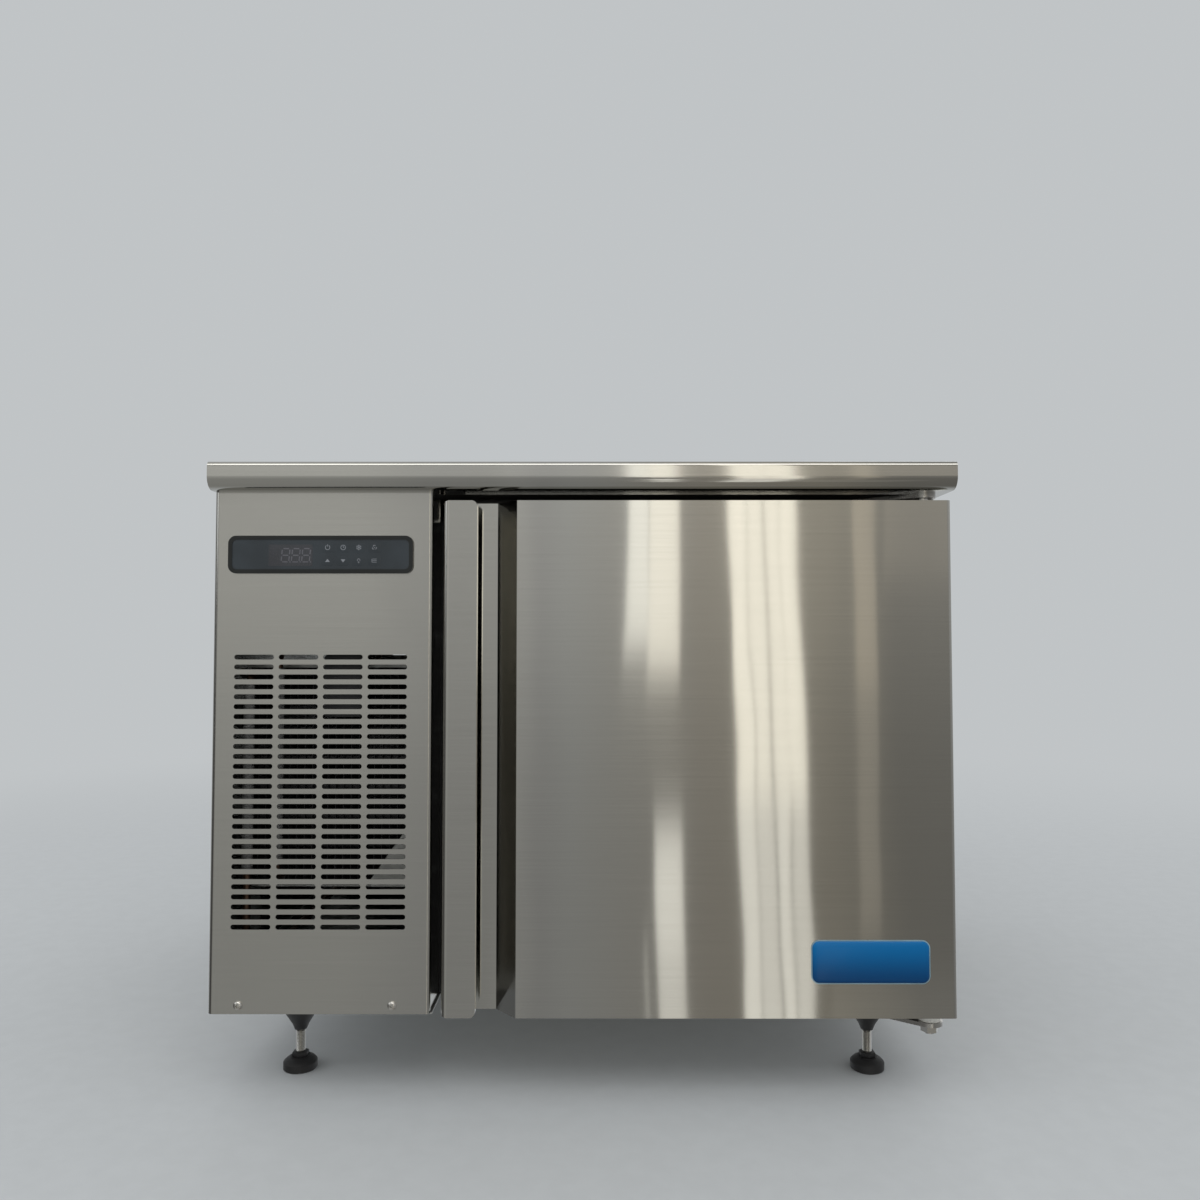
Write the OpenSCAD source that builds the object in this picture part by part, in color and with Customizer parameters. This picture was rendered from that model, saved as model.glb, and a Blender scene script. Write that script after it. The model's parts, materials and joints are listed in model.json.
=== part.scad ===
// Counter-height blast chiller: an insulated cell with a side-hung door on the right,
// and a refrigeration bay behind a slotted panel on the left, under one worktop.
// Millimetres. +Z is up, the front faces -Y, and the origin is on the floor under the
// centre of the worktop.

/* [Cabinet] */
// Width of the cabinet and the worktop
body_w = 750; // [740:2:860]
// Depth of the cabinet, front panel to rear panel
body_d = 700; // [694:2:800]
// Height of the cabinet under the worktop
body_h = 524; // [520:2:620]
// Thickness of the casing sheet
sheet = 1.2; // [0.8:0.1:1.6]
// Thickness of the base tray
tray_t = 1.5; // [1:0.1:2.5]
// Height of the base tray's turned-up edges
tray_edge = 22; // [18:1:30]

/* [Worktop] */
// Thickness of the worktop at its nose
top_t = 28; // [24:1:40]
// Overhang of the worktop past the front and rear panels
top_over = 20; // [16:1:40]
// Upper radius of the nose
nose_r = 5; // [3:0.5:8]
// Lower radius of the nose, where it curves back under
nose_back_r = 13; // [8:0.5:15]
// Width of the folded lip under the worktop's edge
top_lip = 16; // [16:1:24]

/* [Legs] */
// Height of the cabinet's underside above the floor
leg_h = 90; // [86:1:120]
// Distance of a leg's axis from the cabinet's side
leg_in_x = 68; // [50:1:90]
// Distance of a leg's axis from the front or rear panel
leg_in_y = 88; // [88:1:120]
// Radius of the leg socket's flange
socket_r = 31; // [26:1:34]
// Radius of the threaded stem
stem_r = 5; // [4:0.5:6]
// Radius of the foot's pad
pad_r = 18; // [14:0.5:22]

/* [Cell] */
// Insulated wall towards the refrigeration bay
wall_left = 45; // [40:1:60]
// Insulated wall on the right
wall_right = 50; // [45:1:60]
// Insulated floor
wall_floor = 50; // [40:1:60]
// Insulated roof
wall_roof = 46; // [40:1:60]
// Insulated rear wall
wall_rear = 50; // [40:1:60]
// Corner radius inside the cell
liner_r = 12; // [6:1:20]
// Width of the thermal break round the opening
breaker_w = 14; // [12:1:18]
// Depth of the thermal break
breaker_t = 10; // [6:1:14]
// Thickness of the front frame
frame_t = 1.5; // [1:0.1:2]

/* [Trays] */
// Width of a tray
tray_w = 325; // [318:1:325]
// Side play of a tray between its runners
tray_play = 3; // [2:0.5:6]
// Number of tray levels
levels = 5; // [3:1:5]
// Height of the first level above the cell's floor
first_level = 30; // [24:1:40]
// Spacing of the levels
level_pitch = 72; // [60:1:76]
// Length of a runner
runner_l = 540; // [532:2:556]
// Thickness of a runner
rail_t = 1.5; // [1:0.1:2]
// Width of the shelf that carries the tray's rim
shelf_w = 12.5; // [10:0.5:14]
// Depth of a runner's web
web_h = 12; // [8:0.5:16]
// Thickness of a rack post
post_t = 4; // [3:0.5:5]
// Width of a rack post
post_w = 18; // [12:1:24]

/* [Door] */
// Black gap between the front panel and the handle
door_gap = 11; // [8:0.5:14]
// How far the door's face stands in front of the front panel
door_proud = 5; // [3:0.5:10]
// Thickness of the door without its seal
door_t = 50; // [46:1:52]
// How far the door hangs below the cabinet's underside
door_drop = 2; // [0:0.5:4]
// Gap over the door
door_top_gap = 9.5; // [9:0.5:14]
// How far the door's edge lies inside the cabinet's side
door_side_in = 2; // [1:0.5:4]
// Radius of the door's outer front edge
door_edge_r = 4; // [2:0.5:6]
// Thickness of the magnetic seal
gasket_t = 10.7; // [9.7:0.1:12]
// Width of the magnetic seal
gasket_w = 20; // [16:1:22]
// Clearance between the closed seal and the front frame
seal_gap = 0.3; // [0.2:0.1:0.6]
// Rise of the pressed field on the door's inner face
field_t = 7; // [4:0.5:8]

/* [Handle] */
// Width of the handle strip
grip_w = 34.6; // [30:0.2:38]
// Depth of the finger recess behind the door's face
grip_depth = 25; // [22:0.5:28]
// Distance from the door's left edge to the foot of the slope
grip_floor_w = 53; // [50:0.5:60]
// Width of the sloping side of the recess
grip_slope_w = 22; // [14:0.5:30]
// Thickness of the handle's metal
grip_t = 2; // [1.5:0.1:3]
// Depth of the hem along the strip's inner edge
grip_hem = 8; // [5:0.5:10]
// Radius of the handle's outer edge
grip_r = 6; // [4:0.5:8]

/* [Hinges] */
// Distance of the door's axis from the cabinet's right side
pivot_in = 21; // [20:0.5:24]
// Distance of the door's axis behind the door's face
pivot_back = 30; // [29:0.5:33]
// Thickness of a hinge plate
hinge_t = 4; // [3:0.5:5]
// Width of a hinge plate where it meets the cabinet
hinge_w = 80; // [60:1:90]
// Radius of a hinge plate's nose
hinge_nose_r = 13; // [12:0.5:15]
// Height of the bush under the door
bush_h = 12; // [8:0.5:16]
// Radius of a hinge pin
pin_r = 5; // [4:0.5:6]
// Radius of a hinge bush in the door
bush_r = 8; // [7.5:0.5:10]
// Radial running clearance of pins, shafts and stems
run_fit = 0.06; // [0.02:0.01:0.09]
// Radial clearance of fixed pieces in their holes
hole_fit = 0.1; // [0.05:0.05:0.3]

/* [Front panel] */
// Width of the front panel
panel_w = 223; // [222:1:240]
// Radius of the panel's left bend
bend_l = 6; // [4:0.5:10]
// Radius of the panel's right bend
bend_r = 4; // [3:0.5:6]
// Depth of the panel's left return
panel_return = 20; // [16:1:30]
// Gap between the front panel's return and the cell
panel_gap = 2; // [1:0.5:3]
// Length of a vent slot
vent_l = 40; // [30:1:42]
// Height of a vent slot
vent_h = 5; // [3:0.5:7]
// Spacing of the slots across
vent_px = 45; // [44:0.5:48]
// Spacing of the slots down
vent_pz = 10; // [9:0.5:11]
// Number of slots across
vent_cols = 4; // [2:1:4]
// Number of slots down
vent_rows = 28; // [8:1:28]
// Height of the lowest slot above the cabinet's underside
vent_low = 85.8; // [70:0.2:95]
// Distance of the slots' middle from the panel's middle
vent_off = -1.2; // [-3:0.1:3]
// Height of the panel screws above the cabinet's underside
screw_z = 8.6; // [8:0.2:14]
// Spacing of the panel screws
screw_px = 153.8; // [120:0.2:170]

/* [Controller] */
// Width of the controller's bezel
ctl_w = 187.5; // [160:0.5:196]
// Height of the controller's bezel
ctl_h = 38.2; // [34:0.2:44]
// Height of the bezel's middle above the cabinet's underside
ctl_z = 459.7; // [450:0.1:480]
// How far the bezel stands out
ctl_out = 3.2; // [2:0.2:6]
// Width of the bezel's rim
ctl_rim = 4; // [3:0.5:6]
// Depth of the controller's body behind the panel
ctl_depth = 58; // [40:1:64]

/* [Condenser] */
// Width of the condenser between its side plates
cond_w = 174; // [160:1:174]
// Height of the condenser
cond_h = 235; // [220:1:240]
// Depth of the condenser
cond_d = 40; // [38:1:50]
// Height of the condenser's underside above the base tray
cond_lift = 113.5; // [100:0.5:118]
// Distance of the condenser behind the front panel
cond_back = 45; // [40:1:50]
// Number of fins
cond_fins = 22; // [8:1:24]
// Tubes in each row, an even number
cond_tubes = 8; // [4:2:8]
// Spacing of the tubes in a row
cond_pitch = 30; // [28:0.5:30]
// Outer radius of the condenser's tubes
cond_tube_r = 4; // [3:0.5:5]
// Outer radius of the condenser fan
fan_r = 77; // [60:1:77]
// Number of fan blades
blades = 5; // [3:1:7]

/* [Evaporator] */
// Outer radius of the evaporator fan
evap_fan_r = 100; // [80:1:102]
// Distance of the evaporator fan's axis from the cell's front
evap_fan_y = 164; // [150:1:170]
// Depth of the evaporator coil, front to rear
evap_l = 230; // [180:2:240]
// Number of evaporator fins
evap_fins = 24; // [8:1:24]
// Outer radius of the evaporator's tubes
evap_tube_r = 4.5; // [3:0.5:5]
// Radius of the guard's wires
wire_r = 1.25; // [1:0.05:1.5]

/* [Refrigeration] */
// Radius of the compressor's shell
comp_r = 72; // [60:1:74]
// Height of the compressor's shell
comp_h = 185; // [160:1:200]
// Distance of the compressor's axis behind the cabinet's middle
comp_y = 130; // [120:1:140]
// Height of the rubber mounts
mount_h = 18; // [12:1:24]
// Radius of the liquid receiver
recv_r = 35; // [28:1:38]
// Radius of the liquid and discharge pipes
pipe_r = 4; // [3:0.5:5]
// Radius of the suction pipe
suction_r = 6; // [5:0.5:8]
// Bend radius of the small pipes
pipe_bend = 14; // [11:1:14]

/* [Hidden] */

steel = "#9b9c97";
bright = "#b9bab6";
dark = "#2b2d2f";

// cabinet planes
xl = -body_w/2;
xr = body_w/2;
yf = -body_d/2;
yr = body_d/2;
zb = leg_h;
zt = zb + body_h;
zw = zt + top_t;
bay_x = xl + panel_w;              // right side of the front panel
cell_x = bay_x + panel_gap;        // left side of the cell's casing
cell_z = zt - hinge_t;             // the cell's roof, one hinge plate below the worktop
floor_z = zb + tray_t;             // upper side of the base tray
eps = 0.01;
cut = 5;

// door planes
door_x0 = bay_x + door_gap;
door_x1 = xr - door_side_in;
door_y0 = yf - door_proud;
door_y1 = door_y0 + door_t;
door_z0 = zb - door_drop;
door_z1 = zt - door_top_gap;
face_y = door_y1 + gasket_t + seal_gap;   // the cabinet's face behind the door
pivot = [xr - pivot_in, door_y0 + pivot_back];

// inside of the cell
in_x0 = cell_x + wall_left;
in_x1 = xr - wall_right;
in_y0 = face_y + breaker_t;
in_y1 = yr - wall_rear;
in_z0 = zb + wall_floor;
in_z1 = cell_z - wall_roof;
cell_mid_z = (in_z0 + in_z1)/2;

// racks and fan panel, set out from the right-hand wall
web_x1 = in_x1 - post_t - rail_t;          // inner side of the right-hand webs
web_x0 = web_x1 - tray_w - tray_play;      // inner side of the left-hand webs
fan_x = web_x0 - rail_t - post_t;          // right face of the fan panel
panel_z0 = in_z0 + liner_r + 1;
panel_z1 = in_z1 - liner_r - 1;
panel_y0 = in_y0 + 4;
panel_y1 = in_y1 - 10;
fan_mid_y = face_y + evap_fan_y;
fan_hole_r = evap_fan_r + 4;
runner_y0 = in_y0 + 14;
runner_y1 = runner_y0 + runner_l;
post_ys = [runner_y0 + 2, runner_y1 - 65];

// evaporator coil
ev_y1 = panel_y1 - 5;
ev_y0 = ev_y1 - evap_l;
ev_x0 = in_x0 + 5;
ev_x1 = fan_x - 20;
ev_z0 = panel_z0 + 25;
ev_z1 = panel_z1 - 25;
pass_z = ev_z1 - 22;                       // pipes through the wall
pass_y = [ev_y1 - 10, ev_y1 - 40];         // liquid, suction
pass_r = [pipe_r, suction_r];

// refrigeration bay
bay_mid = (xl + bay_x)/2;
cond_x1 = bay_x - 24;                      // outer side of the right side plate
cond_x0 = cond_x1 - cond_w - 2*tray_t;
cond_y0 = yf + cond_back;
cond_y1 = cond_y0 + cond_d;
cond_z0 = floor_z + cond_lift;
cond_z1 = cond_z0 + cond_h;
cond_rows = [cond_y0 + cond_d/4, cond_y1 - cond_d/4];
cond_tz0 = cond_z0 + (cond_h - (cond_tubes - 1)*cond_pitch)/2;
cond_tz1 = cond_tz0 + (cond_tubes - 1)*cond_pitch;
cfan = [(cond_x0 + cond_x1)/2, (cond_z0 + cond_z1)/2];
stub_y = cond_y0 - 3;
run_y = stub_y - pipe_bend;                // the pipes that hang in front of the coil
liquid_x = cond_x0 + 6.5;
comp = [bay_mid + 1.5, comp_y];
disch_x = comp[0] - comp_r + 18;           // discharge side of the compressor
suct_x = comp[0] + comp_r - 18;            // suction side
comp_z0 = floor_z + mount_h;
comp_body = comp_z0 + 3;
comp_top = comp_body + comp_h;
comp_stub = comp_top + 12;
over_z = cond_z1 + 12;                     // the discharge pipe passes over the condenser
recv = [liquid_x + 15, yr - 75];
recv_z1 = floor_z + 160;
recv_in = recv[1] - recv_r - 8;
low_z = floor_z + 28.5;                    // liquid pipe along the base
drier_z = recv_z1 + 168.5;
drier_x = [recv[0] + 20, recv[0] + 110];
valve_x = drier_x[1] + 30;
valve_z = [pass_z - 30 - pipe_bend, pass_z - pipe_bend];
box_z0 = over_z + pipe_r + 14;
box_z1 = zt - 14;
box_y = [cond_y1 - 5, cond_y1 + 155];
box_x0 = cell_x - 180;

// controller
ctl_mid = xl + 16 + 187.5/2;
ctl_mid_z = zb + ctl_z;

// legs and hinge bracket
leg_xy = [[xl + leg_in_x, yf + leg_in_y], [xr - leg_in_x, yf + leg_in_y],
          [xl + leg_in_x, yr - leg_in_y], [xr - leg_in_x, yr - leg_in_y]];
socket_z = 42;                             // lower end of a socket
brk_z1 = door_z0 - bush_h;                 // upper side of the lower hinge plate
brk_z0 = brk_z1 - hinge_t;
brk_x0 = xr - 5 - hinge_w;

function unit(v) = v/norm(v);
function tangent(a, c, r, s) =
  let (v = a - c, q = atan2(v[1], v[0]) + s*acos(r/norm(v))) c + r*[cos(q), sin(q)];

// a box between two corners
module block(a, b) translate(a) cube(b - a);
// extrusions along X, with the outline in Y and Z, and along Y, with it in X and Z
module along_x(x0, x1) translate([x0, 0, 0]) rotate([90, 0, 90])
  linear_extrude(height = x1 - x0) children();
module along_y(y0, y1) translate([0, y1, 0]) rotate([90, 0, 0])
  linear_extrude(height = y1 - y0) children();
module along_z(z0, z1) translate([0, 0, z0]) linear_extrude(height = z1 - z0) children();
// round bars and holes along each axis
module rod_x(x0, x1, y, z, r, n = 32) translate([x0, y, z]) rotate([0, 90, 0])
  cylinder(h = x1 - x0, r = r, $fn = n);
module rod_y(x, y0, y1, z, r, n = 32) translate([x, y1, z]) rotate([90, 0, 0])
  cylinder(h = y1 - y0, r = r, $fn = n);
module rod_z(x, y, z0, z1, r, n = 32) translate([x, y, z0])
  cylinder(h = z1 - z0, r = r, $fn = n);
// rounded rectangle between two corners
module rrect(a, b, r, n = 32) union() {
  translate([a[0] + r, a[1]]) square([b[0] - a[0] - 2*r, b[1] - a[1]]);
  translate([a[0], a[1] + r]) square([b[0] - a[0], b[1] - a[1] - 2*r]);
  for (x = [a[0] + r, b[0] - r], z = [a[1] + r, b[1] - r])
    translate([x, z]) circle(r = r, $fn = n);
}
// a slot with round ends, w long and h high
module slot(w, h) union() {
  translate([-(w - h)/2, -h/2]) square([w - h, h]);
  for (s = [-1, 1]) translate([s*(w - h)/2, 0]) circle(d = h, $fn = 24);
}
// the cell's opening, grown by g
module mouth(g = 0) rrect([in_x0 - g, in_z0 - g], [in_x1 + g, in_z1 + g], liner_r + g, 48);

// pipe along points whose legs run along the axes, with bends of radius R
module straight(a, b, r) {
  d = b - a;
  L = norm(d);
  if (L > 0.02) translate(a) rotate([0, acos(d[2]/L), atan2(d[1], d[0])])
    cylinder(h = L, r = r, $fn = 32);
}
module elbow(p, d1, d2, R, r) {
  c = p - R*d1 + R*d2;
  n = cross(d1, d2);
  up = abs(d2[2]) > 0.5;
  turn = up ? [atan2(d2[2] > 0 ? d1[0] : -d1[0], d1[1]), d2[2] > 0 ? 90 : -90, 0]
            : [atan2(d1[2], n[2]), 0, atan2(-d2[1], -d2[0])];
  translate(c) rotate(turn) rotate_extrude(angle = 90, $fn = 48)
    translate([R, 0]) circle(r = r, $fn = 32);
}
module pipe(pts, r, R) {
  n = len(pts);
  d = [for (i = [0:n - 2]) unit(pts[i + 1] - pts[i])];
  union() {
    for (i = [0:n - 2])
      straight(pts[i] + (i > 0 ? R : 0)*d[i], pts[i + 1] - (i < n - 2 ? R : 0)*d[i], r);
    if (n > 2) for (i = [1:n - 2]) elbow(pts[i], d[i - 1], d[i], R, r);
  }
}

// ---------------------------------------------------------------- worktop
module nose(g = 0) {
  y0 = yf - top_over;
  rb = nose_back_r;
  rt = nose_r;
  union() {
    translate([y0 + rb, zt + g]) square([body_d + 2*top_over - rb - g, top_t - 2*g]);
    translate([y0 + rt, zt + rb]) square([rb, top_t - rb - g]);
    translate([y0 + g, zt + rb]) square([rb, top_t - rb - rt]);
    translate([y0 + rb, zt + rb]) circle(r = rb - g, $fn = 48);
    translate([y0 + rt, zw - rt]) circle(r = rt - g, $fn = 32);
  }
}
module top_opening(z0, z1) block([xl + top_lip, yf + panel_return, z0],
                                 [xr - top_lip, yr - top_lip, z1]);
module hinge_notch(z0, z1) block([brk_x0 - 1, face_y - cut, z0], [xr - 5 + 1, face_y + 61, z1]);
module worktop() color(bright) difference() {
  along_x(xl, xr) nose();
  along_x(xl + sheet, xr - sheet) nose(sheet);
  top_opening(zt - cut, zt + sheet + eps);
}
module worktop_core() color("#8a6f4a") union() {
  along_x(xl + sheet, xr - sheet) nose(sheet);
  top_opening(zt, zt + sheet + eps);
  difference() {
    block([cell_x + sheet, face_y + frame_t, cell_z], [xr - top_lip, yr - top_lip, zt + eps]);
    hinge_notch(cell_z - cut, zt);
  }
}

// ---------------------------------------------------------------- casing of the bay
module panel_plan(g = 0) {
  y1 = face_y + 4;
  union() {
    translate([xl + bend_l, yf + g]) square([panel_w - bend_l - bend_r, y1 - yf]);
    translate([xl + g, yf + bend_l]) square([bend_l, y1 + g - yf - bend_l]);
    translate([bay_x - bend_r - g, yf + bend_r]) square([bend_r, y1 + g - yf - bend_r]);
    translate([xl + bend_l, yf + bend_l]) circle(r = bend_l - g, $fn = 48);
    translate([bay_x - bend_r, yf + bend_r]) circle(r = bend_r - g, $fn = 48);
  }
}
module vents() for (i = [0:vent_cols - 1], j = [0:vent_rows - 1])
  translate([bay_mid + vent_off + vent_px*(i - (vent_cols - 1)/2), zb + vent_low + vent_pz*j])
    slot(vent_l, vent_h);
module screw_places() for (s = [-1, 1])
  translate([bay_mid - 3.1 + s*screw_px/2, 0, zb + screw_z]) children();
module front_panel() color(steel) difference() {
  union() {
    difference() {
      along_z(zb, zt) difference() {
        panel_plan();
        panel_plan(sheet);
      }
      block([xl - cut, yf + panel_return, zb - cut], [bay_mid, face_y + cut, zt + cut]);
      block([bay_mid, yf + bend_r, zb - cut], [bay_x + cut, face_y + cut, zb + tray_t]);
    }
    block([xl + bend_l, yf + sheet - eps, zt - sheet], [bay_x - bend_r, yf + 15, zt]);
  }
  along_y(yf - cut, yf + sheet + cut) vents();
  block([ctl_mid - ctl_w/2 + 18, yf - cut, ctl_mid_z - ctl_h/2 + 4.5],
        [ctl_mid + ctl_w/2 - 18, yf + cut, ctl_mid_z + ctl_h/2 - 4.5]);
  screw_places() rod_y(0, yf - cut, yf + cut, 0, 2.25);
}
module panel_screws() color(bright) screw_places() translate([0, yf, 0]) rotate([90, 0, 0])
  rotate_extrude($fn = 32)
    polygon([[0, -12], [1.4, -12], [2, -11], [2, 0], [4.5, 0], [4.5, 0.9], [3.6, 2], [2, 2.6], [0, 2.8]]);
module left_side_panel() color(steel) union() {
  block([xl, yf + panel_return + 0.5, zb], [xl + sheet, yr, zt]);
  block([xl, yf + panel_return + 0.5, zt - sheet], [xl + top_lip, yr - sheet, zt]);
}
module rear_grille() color(steel) difference() {
  union() {
    block([xl + sheet, yr - sheet, zb], [cell_x, yr, zt]);
    block([xl + top_lip + 1, yr - top_lip, zt - sheet], [cell_x - 4, yr - sheet + eps, zt]);
  }
  along_y(yr - sheet - cut, yr + cut) for (j = [0:17])
    translate([bay_mid, zb + 90 + 20*j]) slot(panel_w - 63, 8);
  rod_y(xl + 45, yr - cut, yr + cut, zb + 38, 10 + hole_fit);
}
module base_tray() color(steel) difference() {
  union() {
    block([xl + sheet, yf + sheet, zb], [cell_x, yr - sheet, floor_z]);
    block([xl + bend_l + 2, yf + sheet, zb], [bay_x - bend_r - 4, yf + sheet + tray_t, zb + tray_edge]);
    block([xl + sheet, yr - sheet - tray_t, zb], [cell_x, yr - sheet, zb + tray_edge]);
    block([xl + sheet, yf + panel_return + 1, zb], [xl + sheet + tray_t, yr - sheet, zb + tray_edge]);
    block([cell_x - tray_t, face_y + 8, zb], [cell_x, yr - sheet, zb + tray_edge]);
  }
  block([xl, yf, zb - cut], [xl + bend_l, yf + bend_l, zb + tray_edge + cut]);
  block([bay_x - bend_r, yf, zb - cut], [bay_x, yf + bend_r, zb + tray_edge + cut]);
  screw_places() rod_y(0, yf - cut, yf + 2*cut, 0, 2 + hole_fit);
}

// ---------------------------------------------------------------- insulated cell
module wall_passes(x0, x1, g) for (k = [0, 1])
  rod_x(x0, x1, pass_y[k], pass_z, pass_r[k] + g);
drain_x = (fan_x + in_x1)/2;
drain_y = in_y1 - 70;
drain_r = 10;
module drain_pass(z0, z1) rod_z(drain_x, drain_y, z0, z1, drain_r + hole_fit);
module cell_outer_casing() color(steel) difference() {
  block([cell_x, face_y + frame_t, zb], [xr, yr, zt]);
  block([cell_x + sheet, face_y, zb + sheet], [xr - sheet, yr - sheet, cell_z - sheet]);
  block([cell_x + sheet, face_y, cell_z], [xr - sheet, yr - sheet, zt + cut]);
  wall_passes(cell_x - cut, cell_x + cut, hole_fit);
  drain_pass(zb - cut, zb + cut);
}
module cell_insulation() color("#d9c88a") difference() {
  block([cell_x + sheet, face_y + frame_t, zb + sheet], [xr - sheet, yr - sheet, cell_z - sheet]);
  along_y(face_y - cut, in_y0 + sheet) mouth(breaker_w);
  along_y(in_y0, in_y1 + sheet) mouth(sheet);
  wall_passes(cell_x, in_x0, hole_fit);
  drain_pass(zb, in_z0);
}
module cell_liner() color(bright) difference() {
  union() {
    along_y(in_y0, in_y0 + sheet) mouth(breaker_w);
    along_y(in_y0, in_y1 + sheet) mouth(sheet);
  }
  along_y(in_y0 - cut, in_y1) mouth();
  wall_passes(in_x0 - cut, in_x0 + eps, hole_fit);
  drain_pass(in_z0 - cut, in_z0 + cut);
}
module cell_front_frame() color(bright) difference() {
  along_y(face_y, face_y + frame_t) difference() {
    translate([cell_x, zb]) square([xr - cell_x, body_h]);
    mouth(breaker_w);
  }
  hinge_notch(cell_z, zt + cut);
}
module breaker_strip() color(dark) difference() {
  along_y(face_y, in_y0) mouth(breaker_w);
  along_y(face_y - cut, in_y0 + cut) mouth();
  along_y(face_y - cut, face_y + 2) mouth(2.5);
}
module drain_fitting() color(dark) difference() {
  union() {
    rod_z(drain_x, drain_y, zb - 22, in_z0 + eps, drain_r);
    rod_z(drain_x, drain_y, in_z0, in_z0 + 1.5, 17);
    rod_z(drain_x, drain_y, zb - 7, zb, 16);
  }
  rod_z(drain_x, drain_y, zb - 30, in_z0 + cut, drain_r - 3);
}
module door_switch() color(dark) along_y(face_y - 8, face_y)
  rrect([cell_x + 2, zt - 22], [cell_x + 22, zt - 3], 3, 24);

// ---------------------------------------------------------------- racks
module runners(x, s) for (k = [0:levels - 1]) translate([x, 0, in_z0 + first_level + level_pitch*k])
  mirror([s < 0 ? 1 : 0, 0, 0]) union() {
    block([-rail_t, runner_y0, -web_h], [0, runner_y1, rail_t]);
    block([-eps, runner_y0, 0], [shelf_w, runner_y1, rail_t]);
    block([-eps, runner_y1 - rail_t, 0], [shelf_w, runner_y1, 10]);
  }
module posts(x) for (y = post_ys) difference() {
  block([x, y, panel_z0], [x + post_t, y + post_w, panel_z1]);
  for (k = [0:levels - 1])
    rod_x(x - cut, x + post_t + cut, y + post_w/2, in_z0 + first_level + level_pitch*k - 22, 3, 24);
}
module rack_posts_left() color(bright) posts(fan_x);
module rack_posts_right() color(bright) posts(in_x1 - post_t);
module tray_runners_left() color(bright) runners(web_x0, 1);
module tray_runners_right() color(bright) runners(web_x1, -1);

// ---------------------------------------------------------------- fans
// blades turn about +Z, front face up: a hub, and blades twisted from root to tip
module fan_blades(r, w, hub_r, n) {
  chord = 0.62*(r + hub_r)*sin(180/n);
  difference() {
    union() {
      rod_z(0, 0, 0, w, hub_r, 48);
      for (i = [0:n - 1]) rotate([0, 0, 360/n*i]) translate([hub_r - 4, 0, w/2])
        rotate([0, 90, 0]) linear_extrude(height = r - hub_r + 4, twist = 20, slices = 5)
          rotate(66) polygon([for (t = [-1:0.5:1]) [chord*t/2, 0.06*chord*(1 - t*t) + 0.8],
                              for (t = [1:-0.5:-1]) [chord*t/2, 0.06*chord*(1 - t*t) - 0.8]]);
    }
    rod_z(0, 0, -cut, w - 5, 3 + run_fit);
    difference() {
      rod_z(0, 0, w - 3, w + cut, hub_r - 2.5, 48);
      rod_z(0, 0, w - 4, w + cut, 7);
    }
  }
}
// motor under the blades: body, shaft, four arms and legs to the plate at height h
module fan_motor(body_r, body_h, shaft, leg_r, h) difference() {
  union() {
    rotate_extrude($fn = 48) polygon([[0, -body_h], [body_r - 6, -body_h], [body_r, -body_h + 6],
      [body_r, -5], [body_r - 5, 0], [9, 0], [9, 1.5], [0, 1.5]]);
    rod_z(0, 0, 0, shaft, 3);
    for (q = [45:90:315]) rotate([0, 0, q]) {
      block([body_r - 14, -6, -body_h - 2], [leg_r, 6, -body_h + eps]);
      block([leg_r - 2, -6, -body_h - 2], [leg_r, 6, h]);
      block([leg_r - 2, -6, h - 2], [leg_r + 8, 6, h]);
    }
  }
  for (q = [22.5:45:337.5]) rotate([0, 0, q]) translate([body_r - 16, 0, -body_h - 1])
    cylinder(h = 3, r = 2.5, $fn = 24);
}
// frame of a fan: its axis, seat and direction of view
module condenser_fan_at() translate([cfan[0], cond_y1 + 28, cfan[1]]) rotate([90, 0, 0]) children();
module evaporator_fan_at() translate([fan_x - 38, fan_mid_y, cell_mid_z]) rotate([0, 90, 0]) children();

module condenser_fan_blades() color(dark) condenser_fan_at() translate([0, 0, 4])
  fan_blades(fan_r, 21, 24, blades);
module condenser_fan_motor() color("#3a3c3e") condenser_fan_at()
  fan_motor(40, 42, 18, fan_r + 14, 28 - sheet);
module condenser_shroud() color(steel) difference() {
  union() {
    along_y(cond_y1, cond_y1 + sheet) difference() {
      translate([cond_x0, cond_z0]) square([cond_x1 - cond_x0, cond_h]);
      translate(cfan) circle(r = fan_r + 3, $fn = 64);
    }
    along_y(cond_y1, cond_y1 + 26) translate(cfan) difference() {
      circle(r = fan_r + 3 + sheet, $fn = 64);
      circle(r = fan_r + 3, $fn = 64);
    }
  }
}
module evaporator_fan_blades() color(dark) evaporator_fan_at() translate([0, 0, 4])
  fan_blades(evap_fan_r, 26, 28, blades);
module evaporator_fan_motor() color("#3a3c3e") evaporator_fan_at()
  fan_motor(42, 40, 22, fan_hole_r + 6, 38 - sheet);
module evaporator_fan_guard() color(bright) translate([fan_x + wire_r, fan_mid_y, cell_mid_z])
  rotate([0, 90, 0]) union() {
    for (k = [1:5]) rotate_extrude($fn = 64)
      translate([16 + (fan_hole_r - 4 - 16)*k/5, 0]) circle(r = wire_r, $fn = 16);
    // spokes behind the rings, and tabs that hold the guard to the panel
    for (q = [0:60:300]) rotate([0, 0, q]) {
      translate([0, 0, -1.4*wire_r]) rotate([0, 90, 0]) rod_z(0, 0, 8, fan_hole_r - 3, 1.1*wire_r, 16);
      block([fan_hole_r - 5, -6, -wire_r], [fan_hole_r + 10, 6, 0.4*wire_r]);
    }
    rod_z(0, 0, -1.4*wire_r, wire_r, 14);
  }
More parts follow.
